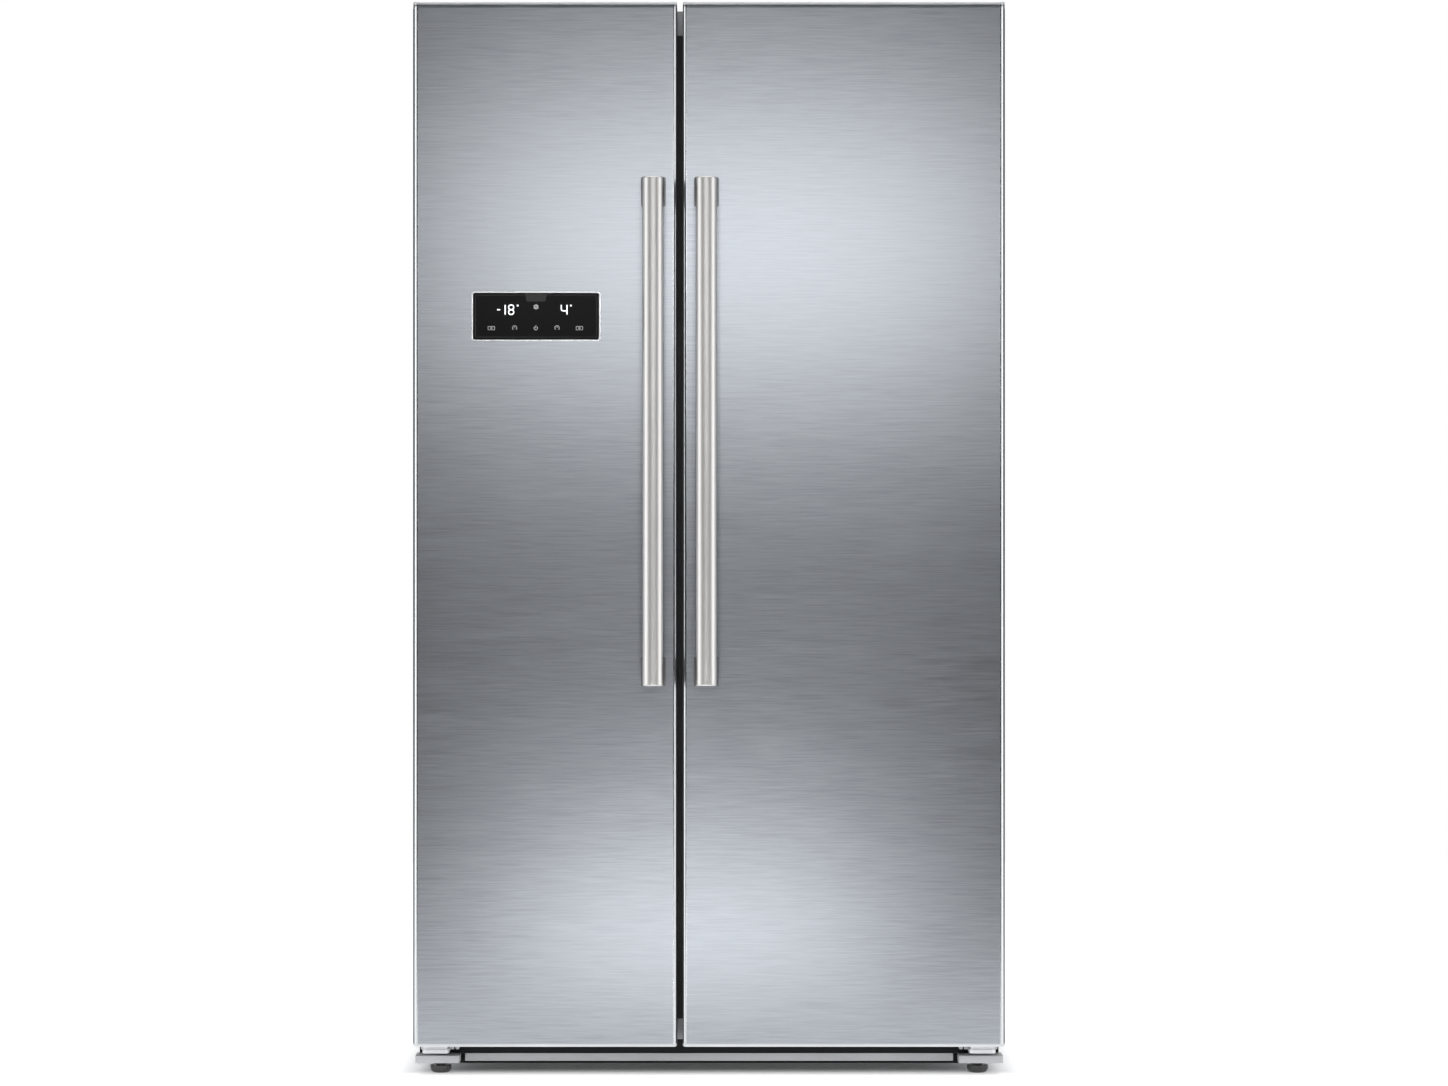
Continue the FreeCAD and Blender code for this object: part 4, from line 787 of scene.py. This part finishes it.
def strokes(name, lines, thickness, finish, body="freezer_door"):
    """Round-ended strokes on the glass. Each line is a list of (x, z) points from its centre."""
    data = bpy.data.curves.new(name, "CURVE")
    data.dimensions = "3D"
    data.bevel_depth = thickness / 2
    data.bevel_resolution = 2
    data.use_fill_caps = True
    for points in lines:
        line = data.splines.new("POLY")
        line.points.add(len(points) - 1)
        for point, (x, z) in zip(line.points, points):
            point.co = (x, 0, z, 1)
    curve = place(bpy.data.objects.new(name + "_line", data))
    bpy.context.view_layer.update()
    shapes = bpy.context.evaluated_depsgraph_get()
    mesh = bpy.data.meshes.new_from_object(curve.evaluated_get(shapes))
    bpy.data.objects.remove(curve)
    mesh.transform(Matrix.Diagonal((1, PRESSED_FLAT, 1, 1)))
    mesh.transform(Matrix.Translation((pane_centre.x, pane_front, pane_centre.z)))
    mesh.materials.clear()
    mesh.materials.append(finish)
    made = place(bpy.data.objects.new(name, mesh))
    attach(made, body)
    print(name, "has", len(mesh.polygons), "faces")


def bow(cx, cz, rx, rz, start, end, steps=10):
    """Points on part of an oval, angles in degrees anticlockwise from +X."""
    turns = [radians(start + (end - start) * k / steps) for k in range(steps + 1)]
    return [(cx + rx * cos(a), cz + rz * sin(a)) for a in turns]


MM = 0.001
DIGIT_LOW, DIGIT_HIGH = 2.6 * MM, 17.4 * MM
half_way = (DIGIT_LOW + DIGIT_HIGH) / 2


def figure_eight(x0, x1):
    """The digit 8: two ovals, one on the other."""
    centre, reach = (x0 + x1) / 2, (x1 - x0) / 2
    upper, lower = (half_way + DIGIT_HIGH) / 2, (half_way + DIGIT_LOW) / 2
    tall = (DIGIT_HIGH - DIGIT_LOW) / 4
    return [bow(centre, level, reach, tall, 0, 360, 20) for level in (upper, lower)]


def figure_four(x0, x1):
    """The digit 4: a hooked stroke and an upright."""
    hook = bow(x0 + 3 * MM, half_way + 1.2 * MM, 3 * MM, 3 * MM, 180, 270, 6)
    hooked = [(x0, DIGIT_HIGH)] + hook + [(x1, half_way - 1.8 * MM)]
    upright = [(x1, DIGIT_HIGH), (x1, DIGIT_LOW)]
    return [hooked, upright]


temperatures = [[(-60 * MM, half_way), (-55.4 * MM, half_way)],
                [(-47.6 * MM, DIGIT_HIGH), (-47.6 * MM, DIGIT_LOW)]]
temperatures += figure_eight(-42.4 * MM, -34.4 * MM)
temperatures += figure_four(39 * MM, 47.8 * MM)
strokes("temperature_digits", temperatures, 1.7 * MM, digit_light)
degree_ticks = [bow(x * MM, 16.4 * MM, 1.0 * MM, 1.0 * MM, 0, 360, 10) for x in (-28.4, 53.8)]
strokes("degree_marks", degree_ticks, 0.9 * MM, digit_light)

# %% [markdown]
# Along the bottom of the glass are five touch symbols, drawn plainly and without words. At each end is
# a box with a ring in it, next to it an open ring with a short tick, and in the middle an open ring
# with a longer stroke. A dim grey light shows them. Above them six strokes make a small fan.

# %% Touch symbols
ICON_Z = -18.5
BOX_ICONS = (-69.0, 67.0)
TICK_ICONS = (-33.0, 32.4)
MIDDLE_ICON = -0.4
FAN_Z = 14.4

icons = []
for x in BOX_ICONS:
    icons.append([(x * MM + a * MM, ICON_Z * MM + b * MM)
                  for a, b in ((-5, 2.6), (5, 2.6), (5, -2.6), (-5, -2.6), (-5, 2.6))])
    icons.append(bow(x * MM, ICON_Z * MM, 1.3 * MM, 1.3 * MM, 0, 360, 10))
for x in TICK_ICONS:
    icons.append(bow(x * MM, ICON_Z * MM + 0.4 * MM, 3.4 * MM, 3.4 * MM, -50, 230, 14))
    icons.append([(x * MM, ICON_Z * MM + 0.4 * MM), (x * MM, ICON_Z * MM + 2.2 * MM)])
icons.append(bow(MIDDLE_ICON * MM, ICON_Z * MM, 2.8 * MM, 2.8 * MM, 120, 420, 14))
icons.append([(MIDDLE_ICON * MM, ICON_Z * MM + 4.4 * MM), (MIDDLE_ICON * MM, ICON_Z * MM)])
strokes("touch_symbols", icons, 0.55 * MM, icon_light)

blades = []
for k in range(6):
    a = radians(60 * k + 30)
    blades.append([(1.4 * MM * cos(a), FAN_Z * MM + 1.4 * MM * sin(a)),
                   (4.0 * MM * cos(a), FAN_Z * MM + 4.0 * MM * sin(a))])
strokes("fan_symbol", blades, 0.6 * MM, digit_light)

frame_line = [(-93.5, -32.2), (93.5, -32.2), (93.5, 32.4), (-93.5, 32.4), (-93.5, -32.2)]
border_grey = coated("border_grey", (0.05, 0.05, 0.052), 0.2, 1500)
strokes("glass_border", [[(x * MM, z * MM) for x, z in frame_line]], 0.45 * MM, border_grey)

# %% Sensor tab
TAB_HALF = 0.0168
TAB_BOTTOM = 0.0226
TAB_TOP = 0.0345
TAB_TAPER = 0.86
TAB_CORNER = 0.0016

bm = bmesh.new()
tab = block(bm, (pane_centre.x - TAB_HALF, pane_front - 0.00006, pane_centre.z + TAB_BOTTOM),
            (pane_centre.x + TAB_HALF, pane_front + 0.0002, pane_centre.z + TAB_TOP))
lower = [v for v in tab if v.co.z < pane_centre.z + 0.023]
about_centre = Matrix.Translation((-pane_centre.x, 0, 0))
bmesh.ops.scale(bm, vec=(TAB_TAPER, 1, 1), verts=lower, space=about_centre)
uprights = [e for e in edges_of(lower) if along(e, 1)]
soften(bm, uprights, TAB_CORNER, 4)
tab_grey = coated("tab_grey", (0.030, 0.030, 0.031), 0.2, 1800, 0.00002, specular=0.06)
piece(bm, "sensor_tab", "freezer_door", tab_grey)

# %% [markdown]
# ## Gaskets
#
# The seal is a soft extrusion: a flat foot in the door, a bellows and a magnet bar that meets the
# cabinet. It runs round the door in one loop with mitred corners. Seven rings are stacked from front
# to back. Each is inset from a rectangle and extruded, and every second one is drawn in a little to
# make the folds.


# %% Gaskets
SEAL_WIDE = 0.017


def ring_block(bm, low, high, wide, y0, y1):
    """A rectangular ring standing between two depths."""
    made = bmesh.ops.create_grid(bm, x_segments=1, y_segments=1, size=0.5)["verts"]
    bmesh.ops.rotate(bm, cent=(0, 0, 0), matrix=Matrix.Rotation(radians(90), 3, "X"), verts=made)
    bmesh.ops.scale(bm, vec=(high.x - low.x, 1, high.z - low.z), verts=made)
    bmesh.ops.translate(bm, vec=((low.x + high.x) / 2, y0, (low.z + high.z) / 2), verts=made)
    sheet = list({f for v in made for f in v.link_faces})
    rim = bmesh.ops.inset_region(bm, faces=sheet, thickness=wide, use_boundary=True,
                                 use_even_offset=True)["faces"]
    bmesh.ops.delete(bm, geom=sheet, context="FACES")
    grown = bmesh.ops.extrude_face_region(bm, geom=rim, use_keep_orig=True)["geom"]
    bmesh.ops.translate(bm, vec=(0, y1 - y0, 0), verts=verts_of(grown))


def gasket(door):
    """The seal of one door, as a stack of rings."""
    low, high = corners(f"{door}_door_gasket")
    depth = high.y - low.y
    bm = bmesh.new()
    layers = ((0.0, 0.17, 0.0), (0.17, 0.27, 0.0035), (0.27, 0.42, 0.0008), (0.42, 0.52, 0.0038),
              (0.52, 0.66, 0.0008), (0.66, 0.74, 0.0035), (0.74, 1.0, 0.0))
    for start, end, tuck in layers:
        inner_low = low + Vector((tuck, 0, tuck))
        inner_high = high - Vector((tuck, 0, tuck))
        ring_block(bm, inner_low, inner_high, SEAL_WIDE - 2 * tuck,
                   low.y + depth * start, low.y + depth * end)
    made = mesh_object(bm, f"{door}_seal", gasket_rubber)
    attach(made, f"{door}_door")
    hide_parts(f"{door}_door_gasket")
    print(made.name, "has", len(made.data.polygons), "faces")


for door in ("freezer", "fridge"):
    gasket(door)

# %% [markdown]
# Between the two seals a thin dark strip covers the front of the centre wall. It is painted shade,
# which keeps the gap between the doors black.

# %% Centre strip
seal_left = corners("freezer_door_gasket")[1]
seal_right, seal_top = corners("fridge_door_gasket")
frame_front = corners("outer_shell")[0].y
# The dark strip is painted shade in the gap between the doors.
bm = bmesh.new()
rounded_block(bm, (seal_left.x + 0.0006, frame_front - 0.0008, seal_right.z + 0.004),
              (seal_right.x - 0.0006, frame_front - 0.00005, seal_top.z - 0.004), 0.0003, 2)
piece(bm, "centre_shade_strip", "cabinet", dark_plastic)
print("strip", round((seal_right.x - seal_left.x) * 1000, 1), "mm wide")

# %% [markdown]
# ## Plinth, corner caps and feet
#
# Under the doors runs a narrow moulded strip. Thin black boards behind and above it are painted
# shade: they cover the chassis and keep the gap under the doors dark. A cap stands before each
# levelling foot. The feet are glass-filled plastic: a ribbed pad that can be turned by hand, with a
# hexagon for a spanner above it. A profile spun round an axis gives the pad, and its ribs are thin
# blocks turned round the same axis.

# %% Plinth and corner caps
PLINTH_HALF = 0.381
BAND_HALF = 0.374
TOE_HALF = 0.452
TOE_SCREWS_X = (0.393, 0.444)
TOE_SCREW_Z = 0.041
TOE_SCREW_RADIUS = 0.0034
CAP_INNER = 0.388
CAP_OUTER = 0.457
CAP_TOP = 0.0318
CAP_WALL = 0.002

plinth_low = corners("plinth_panels")[0]
bm = bmesh.new()
rounded_block(bm, (-PLINTH_HALF, frame_front, plinth_low.z),
              (PLINTH_HALF, frame_front + 0.0025, 0.032), 0.0009, 3)
for row in range(2):
    z = plinth_low.z + 0.0030 + row * 0.0052
    rounded_block(bm, (-BAND_HALF, frame_front, z),
                  (BAND_HALF, frame_front + 0.0006, z + 0.0012), 0.0004, 2)
piece(bm, "plinth_strip", "cabinet", grey_plastic)

# The black boards are painted shade, dark where the gap under the doors lies in shadow.
bm = bmesh.new()
beam_front = corners("base_frame")[0].y
shell_low = corners("outer_shell")[0].z
rounded_block(bm, (-TOE_HALF, beam_front - 0.0014, 0.0322),
              (TOE_HALF, beam_front - 0.0002, 0.0535), 0.0004, 2)
rounded_block(bm, (-TOE_HALF, frame_front + 0.013, 0.0150),
              (TOE_HALF, frame_front + 0.0145, 0.0320), 0.0005, 2)
piece(bm, "toe_shade_board", "cabinet", toe_painted_shade)
print("chassis beam stands", round((beam_front - frame_front) * 1000, 1), "mm behind the plinth")

bm = bmesh.new()
for side in (-1, 1):
    for x in TOE_SCREWS_X:
        disc_bar(bm, (side * x, beam_front - 0.0028, TOE_SCREW_Z),
                 (side * x, beam_front - 0.0012, TOE_SCREW_Z), TOE_SCREW_RADIUS, 20)
piece(bm, "toe_screws", "cabinet", zinc_steel)

bm = bmesh.new()
rounded_block(bm, (-CAP_INNER, -0.218, shell_low - 0.0010),
              (CAP_INNER, 0.143, shell_low - 0.0002), 0.0003, 2)
piece(bm, "underside_sheet", "cabinet", zinc_steel)

bm = bmesh.new()
for side in (-1, 1):
    x0, x1 = sorted((side * CAP_INNER, side * CAP_OUTER))
    shell = block(bm, (x0, plinth_low.y, plinth_low.z), (x1, frame_front + 0.012, CAP_TOP))
    faces = list({f for v in shell for f in v.link_faces})
    fronts = [e for e in edges_of(shell) if along(e, 2) and middle(e).y < frame_front - 0.02]
    back_and_bottom = [f for f in faces if f.normal.y > 0.9 or f.normal.z < -0.9]
    bmesh.ops.delete(bm, geom=back_and_bottom, context="FACES")
    soften(bm, fronts, 0.004, 6)
tops = [e for e in bm.edges if abs(middle(e).z - CAP_TOP) < 0.0001 and len(e.link_faces) == 2]
soften(bm, tops, 0.0012, 3)
face_forward(bm)
corner_caps = mesh_object(bm, "plinth_corner_caps", grey_plastic)
thicken(corner_caps, "wall", CAP_WALL)
smooth(corner_caps)
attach(corner_caps, "cabinet")
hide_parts("plinth_panels")
print("corner caps have", len(corner_caps.data.polygons), "faces")


# %% Levelling feet
FOOT_RIBS = 24
THREAD_RINGS = 24
THREAD_PITCH = 0.00118


def turned(bm, profile, centre, steps=48):
    """Spins a profile of (radius, height) pairs round a vertical axis."""
    verts = [bm.verts.new((centre[0] + r, centre[1], z)) for r, z in profile]
    edges = [bm.edges.new(pair) for pair in zip(verts, verts[1:])]
    bmesh.ops.spin(bm, geom=verts + edges, cent=(centre[0], centre[1], 0), axis=(0, 0, 1),
                   angle=2 * pi, steps=steps, use_merge=True)


def levelling_foot(side):
    """The pad and the screw stem of one foot."""
    node = f"front_{side}_foot"
    low, high = corners(node)
    x, y = (low.x + high.x) / 2, (low.y + high.y) / 2
    radius = (high.x - low.x) / 2
    bm = bmesh.new()
    turned(bm, [(0, 0), (radius * 0.66, 0), (radius * 0.80, 0.0008), (radius * 0.91, 0.0026),
                (radius * 0.955, 0.0052), (radius * 0.955, 0.0112), (radius * 0.92, 0.0120),
                (0.0095, 0.0122), (0, 0.0122)], (x, y))
    nut = bmesh.ops.create_cone(bm, cap_ends=True, segments=6, radius1=0.008, radius2=0.008,
                                depth=0.0068)["verts"]
    bmesh.ops.translate(bm, vec=(x, y, 0.0155), verts=nut)
    soften(bm, edges_of(nut), 0.0004, 1)
    for k in range(FOOT_RIBS):
        rib = block(bm, (x + radius * 0.93, y - 0.0011, 0.0050),
                    (x + radius * 0.992, y + 0.0011, 0.0116))
        soften(bm, edges_of(rib), 0.0004, 1)
        # Vertices of the ribs that are already in place carry a tag, so only the new rib is turned.
        rib = [v for v in bm.verts if v.co.x > x + radius * 0.925 and abs(v.co.y - y) < 0.00125
               and 0.0045 < v.co.z < 0.0119 and not v.tag]
        turn = Matrix.Rotation(2 * pi * k / FOOT_RIBS, 3, "Z")
        bmesh.ops.rotate(bm, cent=(x, y, 0), matrix=turn, verts=rib)
        for v in bm.verts:
            v.tag = True
    piece(bm, f"{side}_foot_pad", f"{side}_foot", foot_plastic, (node,))
    bm = bmesh.new()
    disc_bar(bm, (x, y, 0.018), (x, y, high.z), 0.0046)
    for k in range(THREAD_RINGS):
        disc_bar(bm, (x, y, 0.0195 + k * THREAD_PITCH), (x, y, 0.0201 + k * THREAD_PITCH), 0.005, 24)
    piece(bm, f"{side}_foot_stem", f"{side}_foot", zinc_steel)


for side in ("left", "right"):
    levelling_foot(side)

# %% [markdown]
# ## Upper hinge covers
#
# On top of the cabinet a low moulded cover hides each hinge plate. It is an open shell that slopes
# down to a lower front, with a small round screw head on top.

# %% Upper hinge covers
COVER_INNER = 0.387
COVER_OUTER = 0.453
NOSE_LONG = 0.026
SLOPE_END = 0.050
NOSE_DROP = 0.007
COVER_SCREW_X = 0.420
COVER_SCREW_BACK = 0.092
COVER_SCREW_RADIUS = 0.0042

cover_low, cover_high = corners("upper_hinge_covers")
top_z = corners("outer_shell")[1].z
bm = bmesh.new()
for side in (-1, 1):
    x0, x1 = sorted((side * COVER_INNER, side * COVER_OUTER))
    shell = block(bm, (x0, cover_low.y, top_z), (x1, cover_high.y, cover_high.z - 0.0006))
    faces = list({f for v in shell for f in v.link_faces})
    bmesh.ops.bisect_plane(bm, geom=shell + edges_of(shell) + faces,
                           plane_co=(0, cover_low.y + SLOPE_END, 0), plane_no=(0, 1, 0))
    slice_all(bm, (0, cover_low.y + NOSE_LONG, 0), (0, 1, 0))
    lowered = [v for v in bm.verts if v.co.y < cover_low.y + 0.030 and v.co.z > cover_high.z - 0.0008
               and x0 - 0.001 < v.co.x < x1 + 0.001]
    bmesh.ops.translate(bm, vec=(0, 0, -NOSE_DROP), verts=lowered)
bmesh.ops.delete(bm, geom=[f for f in bm.faces if f.normal.z < -0.9], context="FACES")
upper = [e for e in bm.edges if len(e.link_faces) == 2 and e.calc_face_angle(0) > 0.6
         and middle(e).z > top_z + 0.001]
soften(bm, upper, 0.002, 4)
screw_y = cover_low.y + COVER_SCREW_BACK
for side in (-1, 1):
    screw_x = side * COVER_SCREW_X
    disc_bar(bm, (screw_x, screw_y, cover_high.z - 0.002),
             (screw_x, screw_y, cover_high.z - 0.0001), COVER_SCREW_RADIUS, 24)
piece(bm, "upper_hinge_caps", "cabinet", grey_plastic, ("upper_hinge_covers",))

# %% [markdown]
# ## Rear rollers
#
# The cabinet is pushed in on two nylon wheels. Each is one spin of its section.


# %% Rollers
ROLLER_X = 0.404
ROLLER_Y = 0.318
ROLLER_RADIUS = 0.020
ROLLER_HALF_WIDTH = 0.011
PIN_RADIUS = 0.0029


def roller(side):
    """The wheel and the pin of one roller."""
    node = f"rear_{side}_roller"
    low, high = corners(node)
    sign = -1 if side == "left" else 1
    x, y, z = sign * ROLLER_X, ROLLER_Y, ROLLER_RADIUS
    half = ROLLER_HALF_WIDTH
    bm = bmesh.new()
    section = [(PIN_RADIUS, -half), (0.0070, -half), (0.0072, -half + 0.0030), (0.0130, -half + 0.0030),
               (0.0132, -half), (0.0182, -half), (0.0196, -half + 0.0006), (0.0200, -half + 0.0022),
               (0.0200, half - 0.0022), (0.0196, half - 0.0006), (0.0182, half), (0.0132, half),
               (0.0130, half - 0.0030), (0.0072, half - 0.0030), (0.0070, half), (PIN_RADIUS, half)]
    verts = [bm.verts.new((x + b, y, z + r)) for r, b in section]
    edges = [bm.edges.new(pair) for pair in zip(verts, verts[1:] + verts[:1])]
    bmesh.ops.spin(bm, geom=verts + edges, cent=(x, y, z), axis=(1, 0, 0), angle=2 * pi, steps=48,
                   use_merge=True)
    piece(bm, f"{side}_roller_wheel", f"{side}_roller", foot_plastic, (node,))
    bm = bmesh.new()
    pin = disc_bar(bm, (low.x, y, z), (high.x, y, z), PIN_RADIUS)
    soften(bm, [e for e in edges_of(pin) if not along(e, 0)], 0.0004, 2)
    piece(bm, f"{side}_roller_pin", f"{side}_roller", zinc_steel)


for side in ("left", "right"):
    roller(side)
